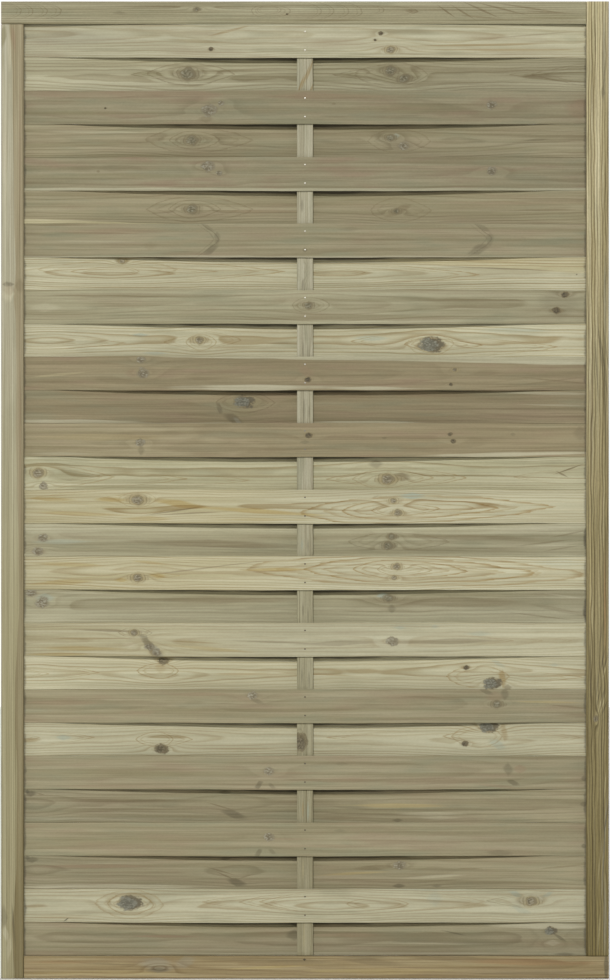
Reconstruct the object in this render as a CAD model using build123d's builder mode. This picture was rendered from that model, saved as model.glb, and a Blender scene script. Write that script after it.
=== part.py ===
import os
from math import atan, degrees, sin

from build123d import *

# Woven fence panel: bowed slats in grooved stiles, pushed in turn to the front and back of a batten.
# The origin is the middle of the bottom edge, X runs across the panel, the front faces -Y, Z is up.

# Overall width
panel_width = 1120 * MM

# Slats
slat_count = 28
slat_width = 61.2 * MM
slat_thickness = 7 * MM
slat_gap = 0.1 * MM
lead_in_length = 75 * MM

# Frame timbers
frame_face = 42 * MM
frame_depth = 42 * MM
frame_edge_radius = 3 * MM

# Grooves of the stiles
groove_depth = 13 * MM
groove_side_clearance = 0.25 * MM
slat_end_clearance = 1.5 * MM

# Upright batten in the middle
batten_width = 30 * MM
batten_depth = 24 * MM
batten_edge_chamfer = 1 * MM
batten_end_clearance = 0.1 * MM

# Nails with flat oblong heads
nail_clearance = 0.05 * MM
nail_tip_clearance = 0.5 * MM
slat_nail_shank = (1.6 * MM, 1.4 * MM)
slat_nail_head = (3 * MM, 2.6 * MM)
slat_nail_head_height = 0.6 * MM
slat_nail_length = 22 * MM
slat_nail_edge_distance = 13.5 * MM
frame_nail_shank = (3 * MM, 2.5 * MM)
frame_nail_head = (6 * MM, 3 * MM)
frame_nail_head_height = 1.2 * MM
frame_nail_length = 80 * MM
corner_nail_spacing = 20 * MM
batten_nail_spacing = 14 * MM

# Derived sizes
opening_height = slat_count * slat_width + (slat_count + 1) * slat_gap
panel_height = opening_height + 2 * frame_face
stile_length = panel_height - frame_face
rail_length = panel_width - frame_face
stile_axis = (panel_width - frame_face) / 2
opening_half = panel_width / 2 - frame_face
slat_half = opening_half + groove_depth - slat_end_clearance
groove_width = slat_thickness + 2 * groove_side_clearance
batten_length = opening_height - 2 * batten_end_clearance
slat_face = batten_depth / 2 + slat_thickness

# Bow of a slat: a short arc out of the groove runs tangent into a long arc onto the batten
half_span = opening_half - batten_width / 2
bow = (batten_depth + slat_thickness) / 2
bow_angle = 2 * atan(bow / half_span)
lead_in_radius = lead_in_length / sin(bow_angle)
crown_radius = (half_span - lead_in_length) / sin(bow_angle)

# Slats are numbered from the top, the odd ones in front of the batten and the even ones behind it
FRONT = -1
BACK = 1
slat_sides = {n: FRONT if n % 2 else BACK for n in range(1, slat_count + 1)}
slat_bottoms = {
    n: panel_height - frame_face - n * (slat_width + slat_gap) for n in slat_sides
}

# Planes of the nails, each on the surface that the nail is driven into and facing out of the wood
slat_nail_spacing = slat_width - 2 * slat_nail_edge_distance


def slat_nail_plane(n, depth):
    middle = slat_bottoms[n] + slat_width / 2
    side = slat_sides[n]
    return Plane(origin=(0, side * depth, middle), x_dir=(1, 0, 0), z_dir=(0, side, 0))


corner_nail_planes = {
    "top_left": Plane((-stile_axis, 0, panel_height), x_dir=(1, 0, 0), z_dir=(0, 0, 1)),
    "top_right": Plane(
        (panel_width / 2, 0, panel_height - frame_face / 2), x_dir=(0, 0, 1), z_dir=(1, 0, 0)
    ),
    "bottom_right": Plane((stile_axis, 0, 0), x_dir=(1, 0, 0), z_dir=(0, 0, -1)),
    "bottom_left": Plane((-panel_width / 2, 0, frame_face / 2), x_dir=(0, 0, 1), z_dir=(-1, 0, 0)),
}
batten_nail_planes = {
    "top": Plane((0, 0, panel_height), x_dir=(0, 1, 0), z_dir=(0, 0, 1)),
    "bottom": Plane((0, 0, 0), x_dir=(0, 1, 0), z_dir=(0, 0, -1)),
}


def drive_nails(plane, spacing, shank, head, head_height, length):
    """A pair of nails, spaced along the plane's own Y, heads from the plane inwards."""
    for outline, start, depth in ((head, 0, head_height), (shank, head_height, length)):
        with BuildSketch(plane.offset(-start)) as sections:
            with GridLocations(0, spacing, 1, 2):
                Rectangle(*outline)
        extrude(sections.sketch, amount=start - depth)


def cut_nail_holes(plane, spacing, outline, depth):
    """The holes of a pair of nails, with the nails' side clearance."""
    with BuildSketch(plane) as sections:
        with GridLocations(0, spacing, 1, 2):
            Rectangle(*(side + 2 * nail_clearance for side in outline))
    extrude(sections.sketch, amount=-depth, mode=Mode.SUBTRACT)


def cut_frame_nail_seat(plane, spacing):
    """The timber next to the heads: pockets that leave the heads flush, and holes right through."""
    cut_nail_holes(plane, spacing, frame_nail_head, frame_nail_head_height)
    cut_nail_holes(plane, spacing, frame_nail_shank, frame_face)


def cut_frame_nail_pilot(plane, spacing):
    """The timber beyond the joint, where the points of the nails end."""
    pilot_depth = frame_nail_length - frame_face + nail_tip_clearance
    cut_nail_holes(plane.offset(-frame_face), spacing, frame_nail_shank, pilot_depth)


def draw_slat_face(side, shift):
    """One face of a slat in plan, left half: groove, arc out of it, arc onto the batten, batten."""
    in_groove = Line((-slat_half, shift), (-opening_half, shift))
    lead_in = JernArc(
        in_groove @ 1, (1, 0), lead_in_radius - side * shift, side * degrees(bow_angle)
    )
    crown = JernArc(
        lead_in @ 1, lead_in % 1, crown_radius + side * shift, -side * degrees(bow_angle)
    )
    Line(crown @ 1, (0, (crown @ 1).Y))


os.makedirs("parts", exist_ok=True)


def write_part(part, name):
    part.label = name
    export_step(part, f"parts/{name}.step")


# Left stile: stands on the ground beside the bottom rail and carries the top rail
with BuildPart() as left_stile:
    with BuildSketch():
        with Locations((-stile_axis, 0)):
            section = Rectangle(frame_face, frame_depth)
        fillet(section.vertices(), frame_edge_radius)
        with Locations((-opening_half - groove_depth / 2, 0)):
            Rectangle(groove_depth, groove_width, mode=Mode.SUBTRACT)
    extrude(amount=stile_length)
    cut_frame_nail_seat(corner_nail_planes["bottom_left"], corner_nail_spacing)
    cut_frame_nail_pilot(corner_nail_planes["top_left"], corner_nail_spacing)
write_part(left_stile.part, "left_stile")

# Right stile: stands on the bottom rail and runs up past the end of the top rail
with BuildPart() as right_stile:
    with BuildSketch(Plane.XY.offset(frame_face)):
        with Locations((stile_axis, 0)):
            section = Rectangle(frame_face, frame_depth)
        fillet(section.vertices(), frame_edge_radius)
        with Locations((opening_half + groove_depth / 2, 0)):
            Rectangle(groove_depth, groove_width, mode=Mode.SUBTRACT)
    extrude(amount=stile_length)
    cut_frame_nail_seat(corner_nail_planes["top_right"], corner_nail_spacing)
    cut_frame_nail_pilot(corner_nail_planes["bottom_right"], corner_nail_spacing)
write_part(right_stile.part, "right_stile")

# Top rail: lies on the left stile and butts against the right one
with BuildPart() as top_rail:
    with BuildSketch(Plane.YZ.offset(-panel_width / 2)):
        with Locations((0, panel_height - frame_face / 2)):
            section = Rectangle(frame_depth, frame_face)
        fillet(section.vertices(), frame_edge_radius)
    extrude(amount=rail_length)
    cut_frame_nail_seat(corner_nail_planes["top_left"], corner_nail_spacing)
    cut_frame_nail_seat(batten_nail_planes["top"], batten_nail_spacing)
    cut_frame_nail_pilot(corner_nail_planes["top_right"], corner_nail_spacing)
write_part(top_rail.part, "top_rail")

# Bottom rail: butts against the left stile and runs under the right one
with BuildPart() as bottom_rail:
    with BuildSketch(Plane.YZ.offset(-opening_half)):
        with Locations((0, frame_face / 2)):
            section = Rectangle(frame_depth, frame_face)
        fillet(section.vertices(), frame_edge_radius)
    extrude(amount=rail_length)
    cut_frame_nail_seat(corner_nail_planes["bottom_right"], corner_nail_spacing)
    cut_frame_nail_seat(batten_nail_planes["bottom"], batten_nail_spacing)
    cut_frame_nail_pilot(corner_nail_planes["bottom_left"], corner_nail_spacing)
write_part(bottom_rail.part, "bottom_rail")

# Batten: stands between the rails, and the slats weave past it
with BuildPart() as centre_batten:
    with BuildSketch(Plane.XY.offset(frame_face + batten_end_clearance)):
        section = Rectangle(batten_width, batten_depth)
        chamfer(section.vertices(), batten_edge_chamfer)
    extrude(amount=batten_length)
    for plane in batten_nail_planes.values():
        cut_frame_nail_pilot(plane, batten_nail_spacing)
    nail_depth = slat_nail_length - slat_thickness - slat_nail_head_height + nail_tip_clearance
    for n in slat_sides:
        cut_nail_holes(
            slat_nail_plane(n, batten_depth / 2), slat_nail_spacing, slat_nail_shank, nail_depth
        )
write_part(centre_batten.part, "centre_batten")

# Slats: straight in the grooves and flat against the batten, with an S bend on either side of it
for n, side in slat_sides.items():
    with BuildPart() as slat:
        with BuildSketch(Plane.XY.offset(slat_bottoms[n])):
            with BuildLine():
                draw_slat_face(side, slat_thickness / 2)
                draw_slat_face(side, -slat_thickness / 2)
                Line((-slat_half, -slat_thickness / 2), (-slat_half, slat_thickness / 2))
                mirror(about=Plane.YZ)
            make_face()
        extrude(amount=slat_width)
        cut_nail_holes(
            slat_nail_plane(n, slat_face), slat_nail_spacing, slat_nail_shank, slat_thickness
        )
    write_part(slat.part, f"slat_{n:02d}")

# Slat nails: two through each slat into the batten, from the side that the slat lies on
for name, nailed_side in (("front_slat_nails", FRONT), ("back_slat_nails", BACK)):
    with BuildPart() as slat_nails:
        for n in (n for n, side in slat_sides.items() if side == nailed_side):
            drive_nails(
                slat_nail_plane(n, slat_face + slat_nail_head_height),
                slat_nail_spacing,
                slat_nail_shank,
                slat_nail_head,
                slat_nail_head_height,
                slat_nail_length,
            )
    write_part(slat_nails.part, name)

# Frame nails: two at each corner, and two through each rail into the end of the batten
frame_nail_sizes = (frame_nail_shank, frame_nail_head, frame_nail_head_height, frame_nail_length)
with BuildPart() as corner_nails:
    for plane in corner_nail_planes.values():
        drive_nails(plane, corner_nail_spacing, *frame_nail_sizes)
write_part(corner_nails.part, "corner_nails")

with BuildPart() as batten_nails:
    for plane in batten_nail_planes.values():
        drive_nails(plane, batten_nail_spacing, *frame_nail_sizes)
write_part(batten_nails.part, "batten_nails")
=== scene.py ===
import math
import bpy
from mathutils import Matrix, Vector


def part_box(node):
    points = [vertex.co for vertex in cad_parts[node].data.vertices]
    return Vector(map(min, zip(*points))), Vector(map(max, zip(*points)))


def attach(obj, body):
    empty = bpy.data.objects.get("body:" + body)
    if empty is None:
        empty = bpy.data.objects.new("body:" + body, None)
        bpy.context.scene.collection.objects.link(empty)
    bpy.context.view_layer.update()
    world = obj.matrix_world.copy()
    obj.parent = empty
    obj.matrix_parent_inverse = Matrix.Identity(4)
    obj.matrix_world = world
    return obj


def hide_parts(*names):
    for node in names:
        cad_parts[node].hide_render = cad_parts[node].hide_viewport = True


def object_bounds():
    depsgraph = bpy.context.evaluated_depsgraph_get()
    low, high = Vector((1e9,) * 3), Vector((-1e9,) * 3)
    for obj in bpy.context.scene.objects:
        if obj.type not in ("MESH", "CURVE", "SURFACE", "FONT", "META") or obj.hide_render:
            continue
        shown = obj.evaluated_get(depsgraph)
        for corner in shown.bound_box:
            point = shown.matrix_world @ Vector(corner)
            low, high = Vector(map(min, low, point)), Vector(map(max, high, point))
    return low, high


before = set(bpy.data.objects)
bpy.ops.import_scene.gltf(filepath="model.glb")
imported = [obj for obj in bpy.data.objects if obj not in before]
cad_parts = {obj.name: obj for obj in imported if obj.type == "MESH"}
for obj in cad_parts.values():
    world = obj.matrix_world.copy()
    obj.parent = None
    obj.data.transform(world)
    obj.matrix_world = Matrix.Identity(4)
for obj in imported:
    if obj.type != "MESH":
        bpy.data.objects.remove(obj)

from types import SimpleNamespace

import bpy
import numpy as np
from mathutils import Vector

cadLow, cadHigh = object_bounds()
scene = bpy.context.scene
scene.view_settings.view_transform = "Standard"
mm = 0.001
wholeTurn = 6.28  # radians, the range of a wave's phase
print("frame loaded,", len(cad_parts), "nodes")


def nodeBox(node):  # low and high corner of a CAD node, in mm
    return [np.array(corner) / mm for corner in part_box(node)]


def srgb(red, green, blue):  # a tone as it looks on screen, turned into Blender's linear colour
    shares = np.array([red, green, blue]) / 255
    linear = np.where(shares <= 0.04045, shares / 12.92, ((shares + 0.055) / 1.055) ** 2.4)
    return (*linear.tolist(), 1.0)


class Wire:  # one output socket; sums and products of wires become Math nodes
    def __init__(self, tree, socket=None):
        self.tree = tree
        self.socket = socket

    def make(self, kind, settings, values, output=0):
        node = self.tree.nodes.new(kind)
        for key, setting in settings.items():
            setattr(node, key, setting)
        for key, value in values.items():
            if isinstance(value, Wire):
                self.tree.links.new(value.socket, node.inputs[key])
            else:
                node.inputs[key].default_value = value
        return Wire(self.tree, node.outputs[output] if len(node.outputs) else None)

    def math(self, operation, *terms):
        return self.make("ShaderNodeMath", {"operation": operation}, dict(enumerate(terms)))

    def __add__(self, other):
        return self.math("ADD", self, other)

    def __sub__(self, other):
        return self.math("SUBTRACT", self, other)

    def __mul__(self, other):
        return self.math("MULTIPLY", self, other)

    def __truediv__(self, other):
        return self.math("DIVIDE", self, other)

    def __rsub__(self, other):
        return self.math("SUBTRACT", other, self)

    def __rtruediv__(self, other):
        return self.math("DIVIDE", other, self)

    __radd__ = __add__
    __rmul__ = __mul__

    def vector(self, operation, *terms, output=0):
        return self.make(
            "ShaderNodeVectorMath", {"operation": operation}, dict(enumerate(terms)), output
        )

    def line(self, slope, middle):  # slope * (this - middle)
        return self.math("MULTIPLY_ADD", self, slope, -slope * middle)

    def ease(self, low, high, top=1.0):  # 0 below low, top above high, a smooth S between
        return self.make(
            "ShaderNodeMapRange",
            {"interpolation_type": "SMOOTHSTEP"},
            {"Value": self, "From Min": low, "From Max": high, "To Max": top},
        )

    def mix(self, factor, first, second, blendType="MIX"):
        return self.make(
            "ShaderNodeMix",
            {"data_type": "RGBA", "blend_type": blendType},
            {0: factor, 6: first, 7: second},
            2,
        )

    def noise(self, scale, seed, detail):  # noise about 0; each seed has a place of its own in it
        place = self.vector("MULTIPLY_ADD", self, scale, [seed * step for step in (7.13, 3.71, 5.37)])
        texture = self.make(
            "ShaderNodeTexNoise", {}, {"Vector": place, "Scale": 1.0, "Detail": detail}
        )
        return texture - 0.5


# wood tones: paler wood between the rings, the body, the line of late wood, and how much the fibres show
tones = {
    "pale": (srgb(187, 183, 154), srgb(172, 167, 138), srgb(133, 116, 76), 0.28),
    "straw": (srgb(188, 181, 147), srgb(173, 164, 126), srgb(138, 114, 65), 0.32),
    "greenish": (srgb(183, 179, 148), srgb(166, 162, 130), srgb(127, 113, 74), 0.34),
    "mid": (srgb(165, 160, 130), srgb(147, 141, 111), srgb(111, 100, 69), 0.4),
    "brown": (srgb(153, 145, 115), srgb(136, 128, 98), srgb(104, 93, 65), 0.34),
    "umber": (srgb(150, 138, 106), srgb(133, 122, 92), srgb(103, 90, 61), 0.34),
    "tan": (srgb(159, 149, 119), srgb(147, 136, 106), srgb(113, 99, 68), 0.5),
    "rust": (srgb(155, 140, 103), srgb(140, 124, 87), srgb(103, 81, 46), 0.5),
    "honey": (srgb(202, 192, 154), srgb(176, 164, 123), srgb(94, 79, 40), 0.9),
    # the dark olive tone on the next line darkens the timbers low on the frame and along the right stile's
    # outer side: partly damp wood, partly painted shade where the light falls off
    "dampAndShade": (srgb(120, 108, 66), srgb(107, 95, 53), srgb(76, 64, 33), 0.7),
    "moss": (srgb(165, 158, 123), srgb(150, 142, 107), srgb(112, 100, 66), 0.5),
    "ash": (srgb(178, 173, 148), srgb(164, 158, 132), srgb(127, 119, 91), 0.4),
}
blush = srgb(144, 125, 100)  # pinkish brown patches along the grain
lichen = srgb(135, 134, 106)  # greenish grey patches of the treatment

# stains: long flames of tight grain, bark brown, the bluish bloom of the treatment and so on, and dark
# tones that also serve as painted shade and shadow
stains = {
    "flame": srgb(147, 127, 82), "amber": srgb(168, 151, 101), "rust": srgb(142, 112, 74),
    # Of the dark stains on the next two lines, the darkest serves only as painted shadow under the edge of
    # each front slat, and the next one paints the shade at the grooves as well as real dark marks
    "brown": srgb(115, 101, 71), "smudge": srgb(92, 84, 61), "soot": srgb(62, 56, 42),
    "shadowDark": srgb(44, 39, 28), "pink": srgb(144, 124, 97), "olive": srgb(135, 129, 95),
    "straw": srgb(175, 165, 126), "pale": srgb(180, 174, 146), "cream": srgb(191, 184, 155),
    "bloom": srgb(155, 163, 146), "ashen": srgb(144, 141, 122),
}

# knots: fill and rim of the almond, body, blotches and flecks of the core; stretch and core are in
# radii, slim is the core's height over its length, and press is how far the knot pushes the grain
knotKinds = {
    "eye": dict(
        fill=srgb(152, 139, 101), cover=0.75, rim=srgb(112, 100, 70), rimMix=0.6, stretch=1.9, core=0.58,
        body=srgb(139, 131, 107), pupil=srgb(102, 94, 74), fleck=srgb(157, 151, 130), flecks=0.7,
        coreCover=0.9, press=1.0, slim=0.82),
    "bruise": dict(
        fill=srgb(124, 114, 86), cover=0.85, rim=srgb(104, 94, 68), rimMix=0.6, stretch=1.9, core=0.6,
        body=srgb(127, 122, 98), pupil=srgb(97, 91, 69), fleck=srgb(147, 144, 123), flecks=0.7,
        coreCover=0.9, press=1.0, slim=0.82),
    "stone": dict(
        fill=srgb(143, 128, 93), cover=0.7, rim=srgb(92, 81, 57), rimMix=0.75, stretch=1.6, core=0.76,
        body=srgb(119, 118, 102), pupil=srgb(98, 95, 80), fleck=srgb(138, 138, 121), flecks=0.6,
        coreCover=1.0, press=1.0, slim=0.62),
    "grey": dict(
        fill=srgb(133, 124, 96), cover=0.4, rim=srgb(112, 101, 75), rimMix=0.4, stretch=1.3, core=0.8,
        body=srgb(136, 129, 107), pupil=srgb(103, 94, 73), fleck=srgb(161, 158, 139), flecks=0.8,
        coreCover=0.85, press=0.8, slim=0.82),
    "dark": dict(
        fill=srgb(140, 127, 92), cover=0.6, rim=srgb(104, 93, 66), rimMix=0.6, stretch=1.6, core=0.8,
        body=srgb(111, 102, 79), pupil=srgb(82, 74, 54), fleck=srgb(131, 123, 99), flecks=0.6,
        coreCover=0.95, press=1.0, slim=0.82),
    "pin": dict(
        fill=srgb(138, 124, 90), cover=0.5, rim=srgb(112, 99, 70), rimMix=0.4, stretch=1.8, core=0.75,
        body=srgb(97, 87, 64), pupil=srgb(64, 57, 42), fleck=srgb(116, 107, 84), flecks=0.3, coreCover=0.95,
        press=0.8, slim=0.82),
    "swirl": dict(cover=0.0, press=1.2),
}

# noises of the wood: mm along and across the board, place beside the look's own seed, detail
grainNoises = dict(
    drift=(520, 160, 0, 1), waver=(70, 14, 1, 1), streak=(420, 7, 2, 2), fibre=(30, 0.8, 3, 1),
    patch=(120, 20, 4, 2), speck=(4.5, 2.6, 5, 1), thread=(240, 1.9, 6, 1), wobble=(16, 9, 8, 1))


def boardFields(wire, seed):
    # the board's own millimetres, which every vertex holds, and the noises over them
    board = wire.make("ShaderNodeAttribute", {"attribute_name": "board"}, {}, "Vector")
    along, across, depth = [wire.make("ShaderNodeSeparateXYZ", {}, {0: board}, k) for k in range(3)]
    noises = {
        name: board.noise((1 / long, 1 / wide, 1 / wide), seed + place, detail)
        for name, (long, wide, place, detail) in grainNoises.items()
    }
    return SimpleNamespace(wire=wire, board=board, along=along, across=across, depth=depth, **noises)


def aside(wood, middleAlong, middleAcross, halfWidth, tilt):
    # offset across from a line that rises by tilt for each mm along, in half widths
    if not tilt:
        return wood.across.line(1 / halfWidth, middleAcross)
    slope = (-tilt / halfWidth, 1 / halfWidth, 0)
    slanted = wood.board.vector("DOT_PRODUCT", wood.board, slope, output=1)
    return slanted + (tilt * middleAlong - middleAcross) / halfWidth


def knotFields(wood, knots):
    # Knots push the grain aside: shift = offset across * r2 / (q2 + r2), q2 longer along the grain.
    # Those of one kind share their distances: to the almond round the knot, its core and its heart.
    wire, board = wood.wire, wood.board
    shift, swell, discs = 0.0, 0.0, {}
    for knotAlong, knotAcross, radius, kind in knots:
        knot = knotKinds[kind]
        press = radius * knot["press"]
        offset = board.vector("SUBTRACT", board, (knotAlong, knotAcross, 0))
        flat = board.vector("MULTIPLY", offset, (1 / (3 * press), 1 / press, 0))
        push = 1 / (board.vector("DOT_PRODUCT", flat, flat, output=1) + 1)
        shift = wire.math("MULTIPLY_ADD", wood.across.line(1, knotAcross), push, shift)
        swell = wire.math("MULTIPLY_ADD", push, press, swell)
        if not knot["cover"]:
            continue
        end = wire.math("ABSOLUTE", wood.along.line(1 / (radius * knot["stretch"]), knotAlong))
        bulge = wood.across.line(1 / radius, knotAcross)
        almond = wire.math("MULTIPLY_ADD", bulge, bulge, end)
        core = radius * knot["core"]
        oval = board.vector("MULTIPLY", offset, (knot["slim"] / core, 1 / core, 0))
        nearness = board.vector("LENGTH", oval, output=1)
        inner = nearness + board.vector("DOT_PRODUCT", offset, (0.3 / core, 0.12 / core, 0), output=1)
        disc = (almond, nearness, inner)
        if kind in discs:
            disc = [wire.math("MINIMUM", one, other) for one, other in zip(disc, discs[kind])]
        discs[kind] = disc
    return shift, swell, discs


def ringLines(wood, look, shift, swell):
    # The rings are whole steps of the distance to the pith. The pith drifts nearer and further along
    # the board, and a hill lifts it, so that a sawn face shows straight lines, flames and loops.
    wire = wood.wire
    pithAcross, pithDepth = look["pith"]
    sideways = wood.across - shift - (wood.drift * look.get("sway", 20) + pithAcross)
    deep = wood.depth + wood.drift * look["rise"] + wood.along * look.get("taper", 0.0) + pithDepth
    for hillAlong, lift, length in look.get("hills", []):
        reach = wood.along.line(1 / length, hillAlong)
        deep = deep + lift / wire.math("MULTIPLY_ADD", reach, reach, 1.0)
    radial = wire.math("SQRT", wire.math("MULTIPLY_ADD", sideways, sideways, deep * deep))
    rings = (radial + swell + wood.waver * look.get("waver", 2.5)) / look["ring"]
    turn = wire.math("FRACT", rings)
    late = turn.ease(look.get("sharp", 0.35), 0.86) * turn.ease(1.0, 0.86)
    ringNumber = wire.math("FLOOR", rings) + look["seed"]
    strength = wire.make("ShaderNodeTexWhiteNoise", {"noise_dimensions": "1D"}, {"W": ringNumber})
    faintest = look.get("faintest", 0.25)
    return late * (strength * (1 - faintest) + faintest)


def addZones(wood, look, shade, grain):
    # another tone beyond a straight edge, soft from start to end
    wire = wood.wire
    for toneName, slopeAlong, slopeAcross, start, end, amount in look.get("zones", []):
        field = wood.along * slopeAlong + wood.across * slopeAcross
        field = field + (wood.waver + wood.patch) * look.get("zoneWaver", 3.0)
        shade = wire.mix(field.ease(start, end, amount), shade, wire.mix(grain, *tones[toneName][:2]))
    return shade


def addBorder(wood, look, shade, grain):
    # other tones beyond a border that wanders across from point to point, with a smooth step between
    # each two; each of the tones comes in from start to end along the board
    wire, points = wood.wire, look["border"]
    field = wood.across - points[0][1] + (wood.waver + wood.thread) * 0.8
    for (fromAlong, fromAcross), (toAlong, toAcross) in zip(points, points[1:]):
        field = field - wood.along.ease(fromAlong, toAlong, toAcross - fromAcross)
    beyond = field.ease(-0.8, 0.8)
    for toneName, start, end, amount in look["beyond"]:
        cover = beyond * wood.along.ease(start, end, amount)
        shade = wire.mix(cover, shade, wire.mix(grain, *tones[toneName][:2]))
    return shade


def addMarks(wood, look, shade):
    # stains and painted shade: |offset along| / half length + (offset across / half width)^2 is under 1
    # inside, with a ragged edge; the slats' marks include the painted shade at the grooves and the painted
    # shadow under the slat above
    wire = wood.wire
    ragged = wood.waver * 0.8 + wood.thread * 0.5
    for stainAlong, stainAcross, halfLength, halfWidth, tilt, stainName, amount in look["marks"]:
        end = wire.math("ABSOLUTE", wood.along.line(1 / halfLength, stainAlong))
        bulge = aside(wood, stainAlong, stainAcross, halfWidth, tilt)
        lens = wire.math("MULTIPLY_ADD", bulge, bulge, end + ragged)
        shade = wire.mix(lens.ease(1.05, 0.4, amount), shade, stains[stainName])
    return shade


def addLoops(wood, look, shade):
    # loops of rings: end is the offset along over the reach on that side, bulge the offset across in half
    # widths to the power of bend. A loop with both reaches is an eye, bulge + end^2 = 1, and one with a
    # single reach is an arch, bulge + end = 1. Weaker rings follow inside each.
    wire = wood.wire
    fray = wood.waver * 0.4 + wood.thread * 0.2
    for loopAlong, loopAcross, left, right, halfWidth, tilt, stainName, amount in look.get("loops", []):
        ends = [wood.along.line(way / reach, loopAlong) for way, reach in ((-1, left), (1, right)) if reach]
        bulge = wire.math("ABSOLUTE", aside(wood, loopAlong, loopAcross, halfWidth, tilt))
        bulge = wire.math("POWER", bulge, look.get("bend", 1.3))
        if left and right:
            end = wire.math("MAXIMUM", *ends)
            lens = wire.math("MULTIPLY_ADD", end, end, bulge) + (fray - 1)
            fade = end.ease(-0.9, 0.7)
        else:
            end = ends[0]
            lens = bulge + end + (fray - 1)
            fade = end.ease(-2.2, 0.5)
        turn = wire.math("FRACT", lens * 2.5)
        ring = turn.ease(0.5, 0.93) * turn.ease(1.0, 0.95) * fade
        cover = ring * lens.ease(-1.0, 0.0, amount) * lens.ease(0.1, 0.02)
        shade = wire.mix(cover, shade, stains[stainName])
    return shade


def addKnots(wood, discs, shade):
    # hoops in the almond, then the core with its blotches, flecks and rim
    wire, wobble, speck = wood.wire, wood.wobble, wood.speck
    rough = wobble * 1.1 + speck * 0.8
    for kind, (almond, nearness, inner) in discs.items():
        knot = knotKinds[kind]
        lens = almond + wobble * 0.7 + speck * 0.3
        shade = wire.mix(lens.ease(1.1, 0.4, knot["cover"]), shade, knot["fill"])
        hoops = wire.math("FRACT", nearness * 1.7 + wobble * 1.2)
        shade = wire.mix(hoops.ease(0.5, 0.95, knot["rimMix"]) * lens.ease(1.1, 0.6), shade, knot["rim"])
        heart = wire.mix((wobble + speck * 2 - inner * 0.3).ease(-0.4, 0.15), knot["body"], knot["pupil"])
        heart = wire.mix(speck.ease(0.0, -0.22, knot["flecks"]), heart, knot["fleck"])
        heart = wire.mix((inner + rough * 0.6).ease(0.62, 0.92, knot["rimMix"]), heart, knot["rim"])
        shade = wire.mix((nearness + rough).ease(1.15, 0.85, knot["coreCover"]), shade, heart)
    return shade


def woodMaterial(name, look, length):
    # the tone of the board first, then what lies in and on the wood, with the painted shade and shadow that
    # come among the slats' marks, and its brightness along the length
    material = bpy.data.materials.new(name)
    material.use_nodes = True
    material.node_tree.nodes.clear()
    wire = Wire(material.node_tree)
    wood = boardFields(wire, look["seed"])
    light, body, line, fibres = tones[look["tone"]]
    fibres = look.get("fibres", fibres)
    paler, darker = ([a / b for a, b in zip(shade, body)] for shade in (light, line))  # times the body
    shift, swell, discs = knotFields(wood, look.get("knots", []))

    grain = wood.streak.ease(-0.2, 0.2)
    shade = wire.mix(grain, light, body)
    shade = wire.mix(wood.patch.ease(0.0, 0.22) * look["blush"], shade, blush)
    shade = wire.mix(wood.patch.ease(0.0, -0.22) * look["lichen"], shade, lichen)
    shade = addZones(wood, look, shade, grain)
    if "border" in look:
        shade = addBorder(wood, look, shade, grain)
    shade = addMarks(wood, look, shade)
    shade = addLoops(wood, look, shade)
    shade = wire.mix(ringLines(wood, look, shift, swell) * look["contrast"], shade, darker, "MULTIPLY")
    shade = wire.mix(wood.thread.ease(0.02, 0.3, fibres), shade, darker, "MULTIPLY")
    shade = wire.mix(wood.thread.ease(-0.02, -0.3, fibres), shade, paler, "MULTIPLY")
    shade = addKnots(wood, discs, shade)
    first, last = look.get("level", (1.0, 1.0))
    level = wood.along * ((last - first) / length) + (first + last) / 2
    grit = wood.fibre * 0.16 + wood.speck * look.get("speck", 0.12) + level
    shade = wire.mix(1.0, shade, grit, "MULTIPLY")

    height = wood.fibre * 0.6 + wood.thread * 0.4
    normal = wire.make("ShaderNodeBump", {}, {"Strength": 0.35, "Distance": 0.0006, "Height": height})
    finish = {"Base Color": shade, "Roughness": wood.streak * 0.25 + 0.68, "Normal": normal}
    surface = wire.make("ShaderNodeBsdfPrincipled", {}, {**finish, "Specular IOR Level": 0.3})
    wire.make("ShaderNodeOutputMaterial", {}, {"Surface": surface})
    return material


def squareCorners(half, thick, edge):  # across, depth and radius of a plain stick's four corners
    return [(-half, -thick, edge), (half, -thick, edge), (half, thick, edge), (-half, thick, edge)]


def easedOutline(corners, spacing, arcSteps, hold=0.5):
    # Closed outline in mm: each square corner (across, depth, radius) is a quarter arc, with a point
    # just before and after it that keeps the faces flat, and points at the spacing along the sides.
    places = np.array([corner[:2] for corner in corners], float)
    runs = []
    for k, (*_, radius) in enumerate(corners):
        back = places[k - 1] - places[k]
        ahead = places[(k + 1) % len(corners)] - places[k]
        back, ahead = back / np.linalg.norm(back), ahead / np.linalg.norm(ahead)
        angle = np.linspace(0, math.pi / 2, arcSteps + 1)[:, None]
        centre = places[k] + radius * (back + ahead)
        arc = centre - radius * (np.cos(angle) * ahead + np.sin(angle) * back)
        before, after = arc[:1] + hold * back, arc[-1:] + hold * ahead
        runs.append(np.concatenate([before, arc, after]))
    outline = []
    for k, run in enumerate(runs):
        following = runs[(k + 1) % len(runs)][0]
        count = int(np.linalg.norm(following - run[-1]) / spacing)
        share = np.linspace(0, 1, count + 2)[1:-1, None]
        outline += [run, run[-1] + share * (following - run[-1])]
    return np.concatenate(outline)


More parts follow.
